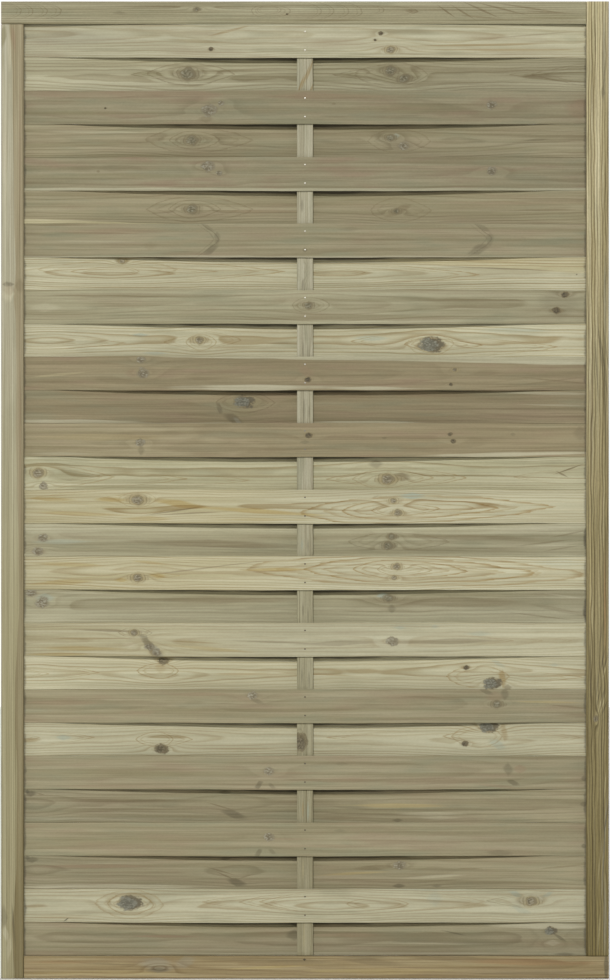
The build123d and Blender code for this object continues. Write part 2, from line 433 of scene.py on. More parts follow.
def sweptMesh(name, points, board, material):
    # points[i, j] is station i along the board and point j of its outline; the outline closes on
    # itself and the two end stations are capped. board holds the same grid in board millimetres.
    stations, count = points.shape[:2]
    ids = np.arange(stations * count).reshape(stations, count)
    after = np.roll(ids, -1, axis=1)
    quads = np.stack([ids[:-1], after[:-1], after[1:], ids[1:]], axis=-1).reshape(-1, 4)
    places = points.reshape(-1, 3)
    a, b, c, d = (places[quads[:, k]] for k in range(4))
    outward = np.einsum("ij,ij->", (a + c) / 2 - places.mean(0), np.cross(c - a, d - b))
    caps = [ids[0][::-1], ids[-1]]
    if outward < 0:
        quads = quads[:, ::-1]
        caps = [cap[::-1] for cap in caps]
    faces = quads.tolist() + [cap.tolist() for cap in caps]
    mesh = bpy.data.meshes.new(name)
    mesh.from_pydata(places.tolist(), [], faces)
    smooth = np.ones(len(faces), bool)
    smooth[-len(caps):] = False
    mesh.polygons.foreach_set("use_smooth", smooth)
    layer = mesh.attributes.new("board", "FLOAT_VECTOR", "POINT")
    layer.data.foreach_set("vector", board.reshape(-1).astype(np.float32))
    mesh.materials.append(material)
    mesh.update()
    piece = bpy.data.objects.new(name, mesh)
    scene.collection.objects.link(piece)
    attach(piece, "root")
    return piece


# slats, in mm: the bow is a short arc out of the groove and a long one onto the batten. halfOpening is
# from the middle to the groove; cup and lap are how far a slat crowns and how far it laps over the next.
battenHalf, battenFace, _ = nodeBox("centre_batten")[1]
slatShape = dict(
    thickness=nodeBox("slat_02")[1][1] - battenFace, halfOpening=nodeBox("right_stile")[0][0],
    battenHalf=battenHalf, leadIn=75.0, edge=0.9, arcSteps=3, spacing=6.5, stations=150,
    seamSeed=100, seamWaves=((0.32, 620), (0.2, 235), (0.11, 88)), close=0.05, cup=0.25, lap=0.7)


def bowLine(x, bow, shape):
    # height of the bow and its slope at x; both arcs turn through the same angle
    span = shape["halfOpening"] - shape["battenHalf"]
    sine = math.sin(2 * math.atan(bow / span))
    leadRadius, crownRadius = shape["leadIn"] / sine, (span - shape["leadIn"]) / sine
    reach = np.clip(shape["halfOpening"] - np.abs(x), 0, span)
    rest = span - reach
    leadRoot = np.sqrt(leadRadius**2 - np.minimum(reach, shape["leadIn"]) ** 2)
    crownRoot = np.sqrt(crownRadius**2 - np.minimum(rest, span - shape["leadIn"]) ** 2)
    inLead = reach < shape["leadIn"]
    height = np.where(inLead, leadRadius - leadRoot, bow - crownRadius + crownRoot)
    slope = np.where(inLead, reach / leadRoot, rest / crownRoot) * -np.sign(x)
    return height, slope


def seamLine(seam, x, shape, count):
    # the line between two slats wanders a little, and both their edges follow it; seam 0 and the last
    # lie along the rails and are straight
    draw = np.random.default_rng(shape["seamSeed"] + seam)
    phases = draw.uniform(0, wholeTurn, len(shape["seamWaves"]))
    waves = sum(
        size * np.sin(2 * math.pi * x / length + phase)
        for (size, length), phase in zip(shape["seamWaves"], phases)
    )
    return waves * (0 < seam < count)


# Looks of the slats, in mm from the middle of the board, along to the right and across upwards.
# knots: along, across, radius, kind. marks: along, across, half length, half width, tilt, stain, amount.
# loops: along, across, reach to the left and to the right, half width, tilt, stain, amount.
# hills: along, lift, length. zones: tone, slope along and across, start, end, amount.
# level: how bright the board is at its two ends. tilt: mm across for each mm along.
slatLooks = {
    1: dict(
        tone="pale", seed=1, pith=(10, 34), ring=3.4, contrast=0.5, blush=0.25, lichen=0.35, taper=0.012,
        rise=18, level=(0.9, 1.04),
        knots=[(140, 14.4, 4.8, "pin"), (129, 1.8, 2.8, "pin"), (158, -16.2, 10.1, "eye"),
               (-173, -14.4, 4.8, "pin")],
        marks=[(-142, 18, 44, 2.6, 0.25, "flame", 0.6), (-193, 0, 83, 3.7, -0.05, "flame", 0.3),
               (322, -7.2, 193, 2.6, 0.02, "flame", 0.55), (359, -16.2, 175, 2.4, 0, "flame", 0.55),
               (267, -24.3, 239, 2, 0, "brown", 0.3), (-433, 5.4, 111, 16.6, 0, "ashen", 0.25),
               (414, 10.8, 111, 1.8, 0.08, "brown", 0.35), (-212, 19.8, 129, 4.6, 0, "cream", 0.4)]),
    2: dict(
        tone="mid", seed=2, pith=(-2, 26), ring=3.5, contrast=0.75, blush=0.1, lichen=0.3, rise=14,
        level=(1.05, 0.88),
        zones=[("pale", 0, -1, 8, 18, 0.6), ("pale", -0.01, 0, 1, 4, 0.5),
               ("brown", 0.01, 0, 0.5, 3, 0.35)],
        hills=[(-216, -7, 101), (168, -8, 83), (617, -9, 175)],
        loops=[(-267, 0, 57, 0, 9.2, 0, "brown", 0.6), (-216, 1.7, 77, 85, 20.3, 0, "brown", 0.5),
               (105, 0, 55, 0, 9.2, 0, "brown", 0.55), (171, 0, 83, 55, 22.1, 0, "brown", 0.4),
               (442, 0, 70, 0, 7.4, 0, "brown", 0.5), (479, 0, 64, 0, 14.7, 0, "brown", 0.45)],
        knots=[(-216, 1.7, 16.6, "bruise"), (158, 6.8, 12.9, "bruise"), (184, -6.8, 11.1, "bruise")],
        marks=[(-289, 0, 48, 5.2, -0.02, "olive", 0.6), (87, 0, 48, 4.4, 0.02, "olive", 0.5),
               (166, 0, 59, 22.1, -0.1, "olive", 0.35), (-129, 6.8, 111, 2.6, 0, "brown", 0.35),
               (267, 6.8, 221, 3.7, 0, "brown", 0.3), (433, -3.4, 111, 2.8, -0.02, "brown", 0.35)]),
    3: dict(
        tone="brown", seed=3, pith=(0, 60), ring=4, contrast=0.35, blush=0.6, lichen=0.6, rise=20,
        level=(0.92, 0.83),
        knots=[(-177, -4.6, 13.8, "grey"), (-155, 8.3, 5.5, "grey"), (344, 4.6, 9.2, "grey"),
               (-368, -0.9, 2.4, "pin")],
        marks=[(-182, -21.3, 17, 7.4, 0, "brown", 0.4), (507, -2.8, 29, 22.1, 0, "pink", 0.5),
               (46, 19.5, 175, 5.5, 0, "pink", 0.4), (-341, 23.2, 212, 7.4, 0, "pink", 0.4),
               (193, -2.8, 129, 9.2, 0, "olive", 0.35), (-414, -10.2, 129, 5.5, 0, "olive", 0.35),
               (53, 6.5, 6, 2.8, 0, "brown", 0.4), (230, -17.6, 258, 3.7, 0, "brown", 0.3)]),
    4: dict(
        tone="brown", seed=4, pith=(2, 26), ring=3.5, contrast=0.6, blush=0.2, lichen=0.5, rise=16,
        level=(1.06, 0.93),
        hills=[(-208, -6, 111), (171, -4, 92)],
        loops=[(-208, 1.9, 44, 52, 16.6, 0, "brown", 0.5), (-208, 1.9, 88, 111, 23.9, 0, "brown", 0.4),
               (171, 0, 55, 63, 22.1, 0, "brown", 0.35)],
        knots=[(-208, 1.9, 12.9, "bruise"), (158, 5.7, 9.2, "bruise"), (182, -9.6, 9.2, "grey")],
        marks=[(168, -1.9, 48, 16.6, -0.3, "smudge", 0.22), (426, 1.9, 29, 2.4, 0.05, "smudge", 0.4),
               (-396, 17.2, 138, 3.7, -0.02, "pale", 0.4), (168, 9.6, 9, 5.5, 0, "bloom", 0.5),
               (359, -13.4, 166, 3.7, 0, "olive", 0.35)]),
    5: dict(
        tone="brown", seed=5, pith=(8, 55), ring=4, contrast=0.35, blush=0.7, lichen=0.5, rise=20,
        level=(0.93, 0.81),
        zones=[("pale", 0, -1, 24.5, 26.5, 0.8)],
        knots=[(-179, 13.9, 12.9, "grey"), (-158, 0.9, 5.9, "grey"), (344, 4.6, 9.2, "grey")],
        marks=[(-341, -4.6, 276, 5.5, 0, "olive", 0.4), (249, 10.2, 239, 5.5, 0, "pink", 0.35),
               (-193, -21.3, 111, 3.7, 0, "pink", 0.35), (-381, 4.6, 5, 2.9, 0, "brown", 0.5),
               (381, 6.5, 17, 3.7, 0, "pink", 0.4), (-9, 21.3, 460, 3.7, 0, "brown", 0.25)]),
    6: dict(
        tone="brown", seed=6, pith=(3, 28), ring=3.5, contrast=0.5, blush=0.25, lichen=0.45, rise=14,
        level=(1.07, 1.01),
        zones=[("straw", -0.0297, -1, 36, 38, 0.85)],
        hills=[(-208, -6, 92), (169, -4, 92)],
        loops=[(-208, -2.8, 44, 52, 16.6, 0, "brown", 0.5), (-208, -2.8, 85, 111, 23.9, 0, "brown", 0.4),
               (171, -4.6, 52, 63, 22.1, 0, "brown", 0.35)],
        knots=[(-208, -2.8, 12, "bruise"), (169, -6.5, 8.3, "bruise")],
        marks=[(175, -4.6, 31, 9.2, 0.45, "brown", 0.5), (-74, -6.5, 120, 3.7, 0, "pink", 0.35),
               (359, 8.3, 175, 3.7, 0, "pink", 0.3), (442, -4.6, 77, 2.2, 0, "brown", 0.45),
               (-359, -10.2, 147, 5.5, 0, "olive", 0.3)]),
    7: dict(
        tone="brown", seed=7, pith=(-5, 60), ring=4.5, contrast=0.25, blush=0.35, lichen=0.8, rise=16,
        level=(0.97, 0.93),
        zones=[("ash", 0, -1, 27.5, 29, 0.7)],
        loops=[(-179, 2.6, 0, 22, 20.3, 0, "smudge", 0.5), (322, 2.6, 0, 24, 20.3, 0, "smudge", 0.42)],
        marks=[(-173, -16.6, 17, 9.2, 0.5, "smudge", 0.5), (-162, 4.4, 8, 12.9, 0, "smudge", 0.3),
               (-179, 23.6, 13, 4.8, -0.5, "smudge", 0.3), (-341, 16.6, 175, 5.5, 0, "pink", 0.4),
               (-451, 28, 66, 2.2, 0, "brown", 0.5), (-221, -23.6, 52, 5.5, 0, "brown", 0.35),
               (319, -16.6, 24, 11.1, 0.3, "smudge", 0.42), (341, 2.6, 9, 14.7, 0, "smudge", 0.25),
               (330, 21.9, 15, 5.5, -0.5, "smudge", 0.32), (-286, -9.6, 18, 9.2, 0, "brown", 0.2),
               (83, 20.1, 26, 5.5, 0, "smudge", 0.2), (0, -16.6, 6, 5.5, 0, "smudge", 0.3),
               (-359, -2.6, 129, 2.8, -0.02, "pale", 0.25)]),
    8: dict(
        tone="pale", seed=8, pith=(3, 22), ring=3.5, contrast=0.8, blush=0.05, lichen=0.2, rise=8, sway=8,
        level=(1.07, 1.0),
        zones=[("straw", 0.058, 1, 30.3, 31.8, 0.85)],
        hills=[(-368, -12, 138), (64, -7, 138)],
        loops=[(-344, 4.6, 88, 37, 8.3, 0, "flame", 0.75), (-258, 4.6, 0, 92, 6.4, 0, "flame", 0.8),
               (-151, 4.6, 0, 111, 12.9, 0, "flame", 0.7), (55, 2.8, 55, 57, 7.4, 0, "flame", 0.6),
               (227, -0.9, 0, 101, 11.1, 0, "flame", 0.8), (-344, 8.3, 147, 111, 16.6, 0, "flame", 0.4)],
        knots=[(-337, 23.2, 6.4, "eye")],
        marks=[(-337, 23.2, 17, 7.4, 0, "smudge", 0.45), (368, 9.3, 147, 1.7, -0.04, "brown", 0.6),
               (359, 21.3, 157, 2.2, -0.03, "flame", 0.45), (501, -0.9, 2, 1.8, 0, "smudge", 0.7),
               (-332, -25, 184, 2.8, 0, "flame", 0.25)]),
    9: dict(
        tone="mid", seed=9, pith=(4, 30), ring=3.5, contrast=0.5, blush=0.2, lichen=0.5, rise=18,
        level=(1.02, 0.93),
        hills=[(7, -3, 74)],
        loops=[(7, 3.2, 33, 41, 14.7, 0, "brown", 0.45)],
        knots=[(7, 3.2, 9.2, "bruise"), (479, 23.3, 7.7, "pin"), (464, -5.9, 8.5, "pin")],
        marks=[(-286, 21.5, 230, 3.7, 0, "brown", 0.4), (470, 8.7, 48, 35, 0, "smudge", 0.22),
               (304, 12.3, 184, 2.8, 0, "brown", 0.35), (-9, -20.6, 516, 3.7, 0, "brown", 0.3),
               (-479, -0.5, 37, 9.2, 0, "pale", 0.45), (-359, 1.4, 64, 1.8, 0, "brown", 0.35),
               (-193, 6.9, 221, 4.6, 0, "pale", 0.25)]),
    10: dict(
        tone="pale", seed=10, pith=(0, 24), ring=3.5, contrast=0.75, blush=0.05, lichen=0.25, rise=8,
        sway=8, level=(1.03, 1.07),
        hills=[(-470, -8, 92), (-192, -5, 52), (234, -10, 114)],
        loops=[(-470, -5, 0, 46, 4.8, 0, "flame", 0.65), (-405, -5, 0, 74, 8.3, 0, "flame", 0.75),
               (-221, -3.2, 41, 0, 11.1, 0, "flame", 0.45), (-193, -3.2, 28, 31, 14.7, 0, "flame", 0.65),
               (-153, 0.5, 0, 37, 11.1, 0, "flame", 0.5), (129, -1.4, 46, 0, 9.2, 0, "flame", 0.75),
               (212, -6.9, 31, 0, 11.1, 0, "flame", 0.8), (267, -8.7, 0, 64, 9.2, 0, "flame", 0.8),
               (396, -12.3, 0, 74, 10.1, 0, "flame", 0.75), (234, -6.9, 48, 41, 20.3, 0, "flame", 0.4)],
        knots=[(-195, 0.5, 10.1, "eye"), (234, -6.9, 17.5, "stone")],
        marks=[(-304, 9.6, 20, 4.1, 0, "bloom", 0.7), (-276, -23.3, 28, 3.7, 0, "bloom", 0.5),
               (123, 4.1, 44, 5.5, 0, "bloom", 0.55), (387, 18.7, 83, 5.5, 0, "bloom", 0.4),
               (-46, -5, 26, 1.8, 0, "brown", 0.3), (-129, -12.3, 74, 1.8, 0.03, "flame", 0.4)]),
    11: dict(
        tone="umber", seed=11, pith=(3, 50), ring=4, contrast=0.4, blush=0.6, lichen=0.3, rise=22,
        level=(0.93, 0.89),
        zones=[("pale", 0.018, 1, 24.8, 26.3, 0.9)],
        knots=[(-302, 25.2, 8.3, "grey"), (-298, 0, 11.1, "grey"), (6, -10.8, 6.6, "pin"),
               (276, 7.2, 6.3, "eye"), (269, -19.8, 3.7, "pin")],
        marks=[(-101, -25.2, 181, 6.3, 0, "pale", 0.95), (120, -26.6, 114, 3.7, 0, "pale", 0.9),
               (-193, 10.8, 120, 2.8, -0.03, "olive", 0.4), (-451, -1.8, 83, 2.8, 0.1, "straw", 0.45),
               (2, 3.6, 18, 11.1, -0.3, "pink", 0.5), (460, -12.6, 83, 2.2, -0.1, "brown", 0.45),
               (448, -14.4, 70, 2.2, 0.12, "brown", 0.35), (-319, 0, 15, 9.2, 0, "pink", 0.4),
               (-193, -9, 111, 3.7, 0.05, "brown", 0.25), (175, -12.6, 129, 2.8, 0.02, "pink", 0.35)]),
    12: dict(
        tone="umber", seed=12, pith=(3, 40), ring=3.8, contrast=0.45, blush=0.45, lichen=0.45, rise=22,
        level=(0.91, 0.84),
        hills=[(-120, -5, 74)],
        loops=[(-114, 7.7, 52, 59, 18.4, 0, "brown", 0.55)],
        knots=[(-112, 9.6, 14.7, "stone")],
        marks=[(-414, -27.3, 157, 4.8, -0.01, "pale", 0.9), (-166, -30.6, 175, 2.6, -0.01, "pale", 0.85),
               (120, -27.9, 138, 2.6, 0, "pale", 0.85), (451, 24.9, 120, 3.1, -0.02, "pale", 0.6),
               (470, 2.9, 83, 1.8, -0.03, "pale", 0.4), (-133, -21, 20, 9.2, -0.3, "smudge", 0.55),
               (-125, -24.9, 9, 5.5, -0.6, "ashen", 0.5), (-158, -1.9, 7, 11.1, -0.9, "smudge", 0.45),
               (-114, 5.7, 48, 27.6, 0, "olive", 0.35), (-322, 9.6, 138, 2.8, 0, "olive", 0.4),
               (175, 19.1, 230, 3.7, 0, "brown", 0.35), (212, -3.8, 304, 2.2, 0, "brown", 0.35),
               (-184, -15.3, 74, 2.2, -0.04, "brown", 0.4), (83, -5.7, 111, 3.7, 0, "olive", 0.35)]),
    13: dict(
        tone="umber", seed=13, pith=(-3, 60), ring=4.5, contrast=0.3, blush=0.5, lichen=0.4, rise=20,
        level=(0.92, 1.0),
        zones=[("straw", -0.004, 0, 0.4, 1.6, 0.25)],
        knots=[(-304, -3.6, 9.2, "grey"), (7, 9, 6.6, "pin"), (267, 10.8, 4.1, "pin"),
               (273, -1.8, 4.8, "pin")],
        marks=[(-302, -18, 9, 11.1, 0, "smudge", 0.35), (368, -26.1, 212, 4.8, 0.02, "pale", 0.85),
               (-378, 5.4, 166, 7.4, 0, "amber", 0.22), (-451, -25.2, 92, 2.9, 0, "pale", 0.4),
               (0, -3.6, 9, 3.7, 0, "smudge", 0.3), (383, 10.8, 7, 3.7, 0, "smudge", 0.25),
               (146, 3.6, 7, 2.2, 0, "smudge", 0.35), (-101, -16.2, 221, 3.7, 0, "brown", 0.25),
               (507, 12.6, 15, 14.7, 0, "smudge", 0.25)]),
    14: dict(
        tone="greenish", seed=14, pith=(3, 24), ring=3.4, contrast=0.8, blush=0.05, lichen=0.3, rise=8,
        sway=8, level=(1.04, 0.98),
        hills=[(-492, -8, 83), (153, -9, 111), (617, -8, 111)],
        loops=[(-433, -4.6, 0, 55, 9.2, 0, "olive", 0.6), (-414, -6.5, 0, 66, 14.7, 0, "flame", 0.6),
               (-286, -10.2, 0, 74, 9.2, 0, "flame", 0.65), (-166, -12.1, 0, 64, 7.4, 0, "flame", 0.65),
               (83, -10.2, 46, 0, 8.3, 0, "flame", 0.8), (112, -10.2, 26, 0, 12.9, 0, "flame", 0.5),
               (193, -8.3, 0, 44, 11.1, 0, "flame", 0.7), (249, -8.3, 0, 52, 11.1, 0, "flame", 0.8),
               (424, -6.5, 42, 0, 8.3, 0, "flame", 0.6)],
        knots=[(-492, 0.9, 13.8, "eye"), (-483, -23.2, 8.3, "grey"), (153, -10.2, 14.7, "eye")],
        marks=[(-433, -4.6, 48, 11.1, 0, "olive", 0.5), (179, -6.5, 22, 9.2, -0.1, "brown", 0.6),
               (488, 8.3, 31, 2, 0.35, "brown", 0.8), (473, -0.9, 13, 2.2, -0.5, "brown", 0.65),
               (131, 17.6, 15, 9.2, 0, "smudge", 0.35), (-286, -25, 230, 3.7, 0, "olive", 0.35)]),
    15: dict(
        tone="pale", seed=15, pith=(2, 24), ring=3.4, contrast=0.85, blush=0.05, lichen=0.15, rise=8,
        sway=8, level=(0.93, 1.08),
        zones=[("straw", -1, 0, -80, 200, 0.85)],
        hills=[(-308, -9, 92), (168, -9, 138)],
        loops=[(168, -5.9, 46, 85, 11.1, 0.02, "flame", 0.8),
               (168, -5.9, 103, 192, 18.4, 0.02, "flame", 0.85),
               (168, -5.9, 181, 289, 24.9, 0.02, "flame", 0.8), (-326, 14.2, 52, 0, 9.2, 0, "amber", 0.85),
               (-433, 16, 77, 0, 10.1, 0, "amber", 0.7), (-308, 12.3, 37, 33, 14.7, 0, "flame", 0.4)],
        knots=[(-308, 12.3, 13.8, "eye"), (164, 10.5, 8.3, "eye"), (171, -11.4, 9.2, "eye")],
        marks=[(-470, 14.2, 55, 4.1, -0.05, "amber", 0.75), (-424, -13.2, 101, 4.4, -0.03, "amber", 0.65),
               (-356, 12.3, 37, 4.8, -0.02, "amber", 0.85), (-230, 5, 55, 7.7, -0.12, "amber", 0.9),
               (-92, -7.8, 147, 5.2, -0.06, "amber", 0.85), (-239, -7.8, 55, 1.8, 0.15, "brown", 0.6),
               (-212, -12.3, 77, 1.7, 0.05, "brown", 0.5), (-286, -22.4, 59, 4.8, 0, "amber", 0.55),
               (-83, -23.3, 120, 3.3, 0, "amber", 0.5), (197, 19.6, 26, 6.6, 0, "bloom", 0.85),
               (129, 17.8, 9, 1.8, 0.3, "brown", 0.3)]),
    16: dict(
        tone="mid", seed=16, pith=(5, 30), ring=3.6, contrast=0.45, blush=0.15, lichen=0.4, rise=14,
        level=(1.01, 0.9),
        zones=[("pale", 0, 1, 8, 15, 0.7), ("pale", 0, -1, 20, 27, 0.5)],
        loops=[(157, -3.2, 77, 111, 16.6, 0, "brown", 0.4)],
        knots=[(-483, 4.1, 9.2, "grey"), (-492, -21.5, 9.2, "grey"), (153, -10.5, 10.1, "bruise"),
               (160, 5.9, 7.4, "bruise")],
        marks=[(-175, -6.9, 193, 8.5, -0.02, "brown", 0.45), (-92, -12.3, 120, 4.8, 0, "brown", 0.35),
               (304, 4.1, 157, 5.9, -0.02, "brown", 0.45), (175, -16, 239, 3.7, 0, "brown", 0.25),
               (-492, -21.5, 18, 8.3, 0, "pink", 0.45), (414, 18.7, 114, 5.5, 0.05, "pale", 0.5),
               (460, -8.7, 70, 3.7, 0.1, "pale", 0.4), (-451, -3.2, 59, 5.5, 0, "bloom", 0.4),
               (488, 11.4, 37, 1.8, 0.2, "brown", 0.4), (518, 4.1, 6, 25.8, 0, "soot", 0.35),
               (442, -5, 66, 1.8, 0.12, "brown", 0.4), (470, -16, 44, 1.8, 0.16, "brown", 0.35)]),
    17: dict(
        tone="pale", seed=17, pith=(1, 24), ring=3.4, contrast=0.85, blush=0.05, lichen=0.15, rise=8,
        sway=8, level=(0.95, 1.09),
        zones=[("straw", -1, 0, -80, 200, 0.8)],
        hills=[(-308, -8, 92), (164, -10, 138)],
        loops=[(164, 6.5, 31, 74, 10.1, -0.02, "flame", 0.75),
               (164, 6.5, 77, 140, 16.6, -0.02, "flame", 0.85),
               (164, 4.6, 166, 260, 23, -0.02, "flame", 0.85),
               (164, 4.6, 276, 363, 28.6, -0.02, "flame", 0.6), (-396, -15.8, 83, 0, 8.3, 0, "amber", 0.75),
               (-321, -12.1, 26, 0, 7.4, 0, "amber", 0.8), (-282, -4.6, 0, 52, 6.4, 0, "amber", 0.8),
               (-9, 6.5, 111, 0, 4.8, 0, "flame", 0.6)],
        knots=[(-308, -8.3, 12, "eye"), (169, 12.1, 9.2, "eye"), (164, -8.3, 6.6, "eye")],
        marks=[(-451, -17.6, 70, 5.5, 0.05, "amber", 0.65), (-433, 15.8, 88, 4.4, -0.03, "amber", 0.6),
               (-339, -12.1, 18, 4.8, 0, "amber", 0.75), (-271, -4.6, 18, 5.5, -0.1, "amber", 0.85),
               (-50, 6.5, 70, 4.1, 0.01, "amber", 0.85), (-193, 8.3, 157, 1.8, 0.12, "brown", 0.4),
               (-286, 19.5, 41, 2.9, -0.1, "amber", 0.55), (470, 19.5, 52, 11.1, 0, "bloom", 0.2)]),
    18: dict(
        tone="mid", seed=18, pith=(5, 30), ring=3.6, contrast=0.5, blush=0.15, lichen=0.4, rise=12,
        level=(0.99, 0.86),
        zones=[("pale", 0, -1, -2, 10, 0.45)],
        knots=[(-484, 6.5, 12, "grey"), (-505, 25, 9.2, "grey"), (155, 13.9, 9.2, "bruise")],
        marks=[(-175, 12.1, 212, 7.7, 0, "brown", 0.42), (267, 8.3, 212, 11.1, -0.02, "brown", 0.4),
               (470, -6.5, 77, 4.4, -0.2, "brown", 0.25), (488, 17.6, 50, 2.2, -0.15, "pale", 0.45),
               (144, 19.5, 13, 5.5, 0, "bloom", 0.85), (160, -4.6, 11, 9.2, 0, "smudge", 0.35),
               (-479, 15.8, 20, 9.2, 0, "bloom", 0.55), (-433, 25, 88, 2.9, -0.03, "pale", 0.5),
               (433, -17.6, 74, 1.8, -0.12, "brown", 0.4), (518, -4.6, 7, 25.8, 0, "soot", 0.45)]),
    19: dict(
        tone="pale", seed=19, pith=(-2, 30), ring=3.5, contrast=0.6, blush=0.1, lichen=0.2, rise=10,
        level=(0.85, 1.01),
        zones=[("straw", -1, 0, 0, 300, 0.7)],
        loops=[(341, -1.8, 0, 44, 5.5, 0, "flame", 0.75), (414, -1.8, 0, 26, 4.4, 0, "flame", 0.6),
               (466, -1.8, 0, 26, 4.4, 0, "flame", 0.5), (-315, 12.6, 29, 33, 9.2, 0, "brown", 0.5)],
        knots=[(-315, 12.6, 8.5, "eye"), (160, -3.6, 10.1, "grey"), (-287, -12.6, 8.3, "grey"),
               (-273, -23.4, 7.4, "grey")],
        marks=[(-359, 16.2, 83, 2.6, -0.03, "brown", 0.55), (-291, -5.4, 17, 12.9, -0.8, "smudge", 0.55),
               (-282, -16.2, 17, 14.7, -0.8, "brown", 0.5), (-273, -21.6, 15, 11.1, -0.8, "ashen", 0.6),
               (-414, -16.2, 111, 4.8, -0.02, "amber", 0.7), (-451, -27, 70, 3.5, 0, "amber", 0.75),
               (-396, 1.8, 88, 2.4, 0, "flame", 0.55), (-175, -16.2, 92, 4.1, -0.08, "amber", 0.55),
               (-212, -3.6, 61, 2.4, -0.05, "flame", 0.55), (-64, -3.6, 92, 2.4, -0.03, "brown", 0.4),
               (64, -6.3, 83, 5.5, 0.02, "brown", 0.42), (267, -3.6, 120, 5.9, 0.02, "brown", 0.48),
               (175, 21.6, 13, 3.7, 0, "bloom", 0.5), (239, 23.4, 11, 3.7, 0, "bloom", 0.45),
               (322, 10.8, 29, 5.5, 0, "bloom", 0.4), (-322, -9, 22, 5.5, 0, "cream", 0.5)]),
    20: dict(
        tone="pale", seed=20, pith=(0, 24), ring=3.5, contrast=0.8, blush=0.05, lichen=0.2, rise=8, sway=8,
        level=(1.15, 1.0),
        hills=[(-507, -6, 83), (-267, -8, 70), (333, -9, 88)],
        loops=[(-507, -1.9, 0, 37, 7.4, 0, "flame", 0.65), (-424, 0, 0, 46, 8.3, 0, "flame", 0.8),
               (-267, 3.8, 44, 35, 14.7, 0, "flame", 0.75), (-138, 0, 0, 120, 7.4, 0, "flame", 0.5),
               (322, -7.7, 63, 55, 20.3, 0, "flame", 0.65), (442, -7.7, 0, 74, 8.3, 0, "flame", 0.75)],
        knots=[(-262, 23, 10.1, "dark"), (298, 9.6, 5.9, "pin"), (346, -19.1, 12.9, "stone")],
        marks=[(-120, -1.9, 83, 2.4, 0, "flame", 0.5), (365, -11.5, 9, 18.4, -0.9, "flame", 0.7),
               (374, -26.8, 9, 7.4, 0, "brown", 0.5), (356, 17.2, 17, 5.5, -0.5, "bloom", 0.4),
               (-267, 9.6, 17, 12.9, 0, "flame", 0.3), (460, 15.3, 11, 3.7, 0, "bloom", 0.4),
               (46, -3.8, 74, 2.2, -0.05, "flame", 0.4)]),
    21: dict(
        tone="brown", seed=21, pith=(3, 50), ring=4, contrast=0.4, blush=0.4, lichen=0.6, rise=20,
        level=(1.06, 0.91),
        knots=[(-96, 20, 9.2, "grey"), (354, 4, 10.1, "bruise")],
        marks=[(-88, 9.3, 17, 5.5, -0.3, "smudge", 0.35), (333, 27.1, 17, 5.5, -0.4, "smudge", 0.45),
               (368, 23.5, 9, 14.7, 0, "smudge", 0.45), (350, 16.4, 20, 11.1, 0, "pink", 0.4),
               (451, 7.5, 70, 2.9, -0.02, "amber", 0.45), (488, -1.3, 50, 1.8, -0.1, "brown", 0.45),
               (267, 16.4, 120, 3.7, 0, "brown", 0.35), (-193, 21.7, 101, 3.7, 0, "pink", 0.4),
               (-451, 5.8, 88, 5.5, 0, "pink", 0.4), (-9, -6.7, 497, 3.7, 0, "olive", 0.35),
               (414, -15.5, 92, 2.8, 0, "pale", 0.3), (46, 16.4, 111, 5.5, 0, "pale", 0.2)]),
    22: dict(
        tone="pale", seed=22, pith=(0, 24), ring=3.5, contrast=0.8, blush=0.05, lichen=0.2, rise=8, sway=8,
        level=(0.99, 0.94),
        hills=[(-507, -6, 83), (-252, -8, 77), (332, -9, 96)],
        loops=[(-521, 3.3, 0, 33, 6.4, 0, "flame", 0.6), (-437, 3.3, 0, 50, 8.3, 0, "flame", 0.75),
               (-271, -0.5, 41, 28, 14.7, 0, "flame", 0.7), (-245, -0.5, 0, 37, 11.1, 0, "flame", 0.65),
               (101, 3.3, 64, 0, 6.6, 0, "flame", 0.75), (295, 5.2, 41, 0, 10.1, 0, "flame", 0.8),
               (322, 5.2, 52, 44, 20.3, 0, "flame", 0.5), (451, 3.3, 0, 64, 8.3, 0, "flame", 0.5)],
        knots=[(-265, -17.4, 11.1, "dark"), (339, 22.1, 12.9, "stone"), (295, -8, 6.3, "pin")],
        marks=[(-446, 3.3, 17, 5.5, 0, "bloom", 0.6), (356, -9.9, 20, 11.1, -0.4, "bloom", 0.5),
               (368, 10.8, 9, 16.6, -0.6, "flame", 0.5), (-120, -17.4, 111, 2.2, 0, "flame", 0.35)]),
    23: dict(
        tone="brown", seed=23, pith=(3, 55), ring=4, contrast=0.35, blush=0.4, lichen=0.6, rise=20,
        level=(1.02, 0.92),
        knots=[(-66, 3.6, 9.2, "grey")],
        marks=[(-85, -21.6, 9, 8.3, 0.6, "smudge", 0.55), (-61, -23.4, 9, 5.5, -0.5, "smudge", 0.35),
               (374, 7.2, 11, 14.7, -0.3, "smudge", 0.4), (396, 7.2, 15, 9.2, 0, "pink", 0.55),
               (383, -18, 13, 5.5, -0.3, "smudge", 0.55), (46, -12.6, 157, 3.7, 0, "pink", 0.3),
               (-322, -25.2, 193, 3.7, 0, "pink", 0.35), (-341, -1.8, 230, 9.2, 0, "olive", 0.3),
               (514, -10.8, 7, 6.4, 0, "smudge", 0.5), (68, 16.2, 15, 3.7, 0, "smudge", 0.2),
               (359, -25.2, 55, 3.7, -0.1, "pink", 0.4), (-28, 0, 74, 2.4, 0, "pink", 0.35)]),
    24: dict(
        tone="brown", seed=24, pith=(4, 34), ring=3.9, contrast=0.55, blush=0.25, lichen=0.5, rise=14,
        level=(0.91, 1.01),
        hills=[(-495, -5, 55), (-134, -4, 55)],
        marks=[(-505, 23.2, 15, 6.6, 0.1, "smudge", 0.62), (-512, 26.4, 7, 4.4, 0, "soot", 0.55),
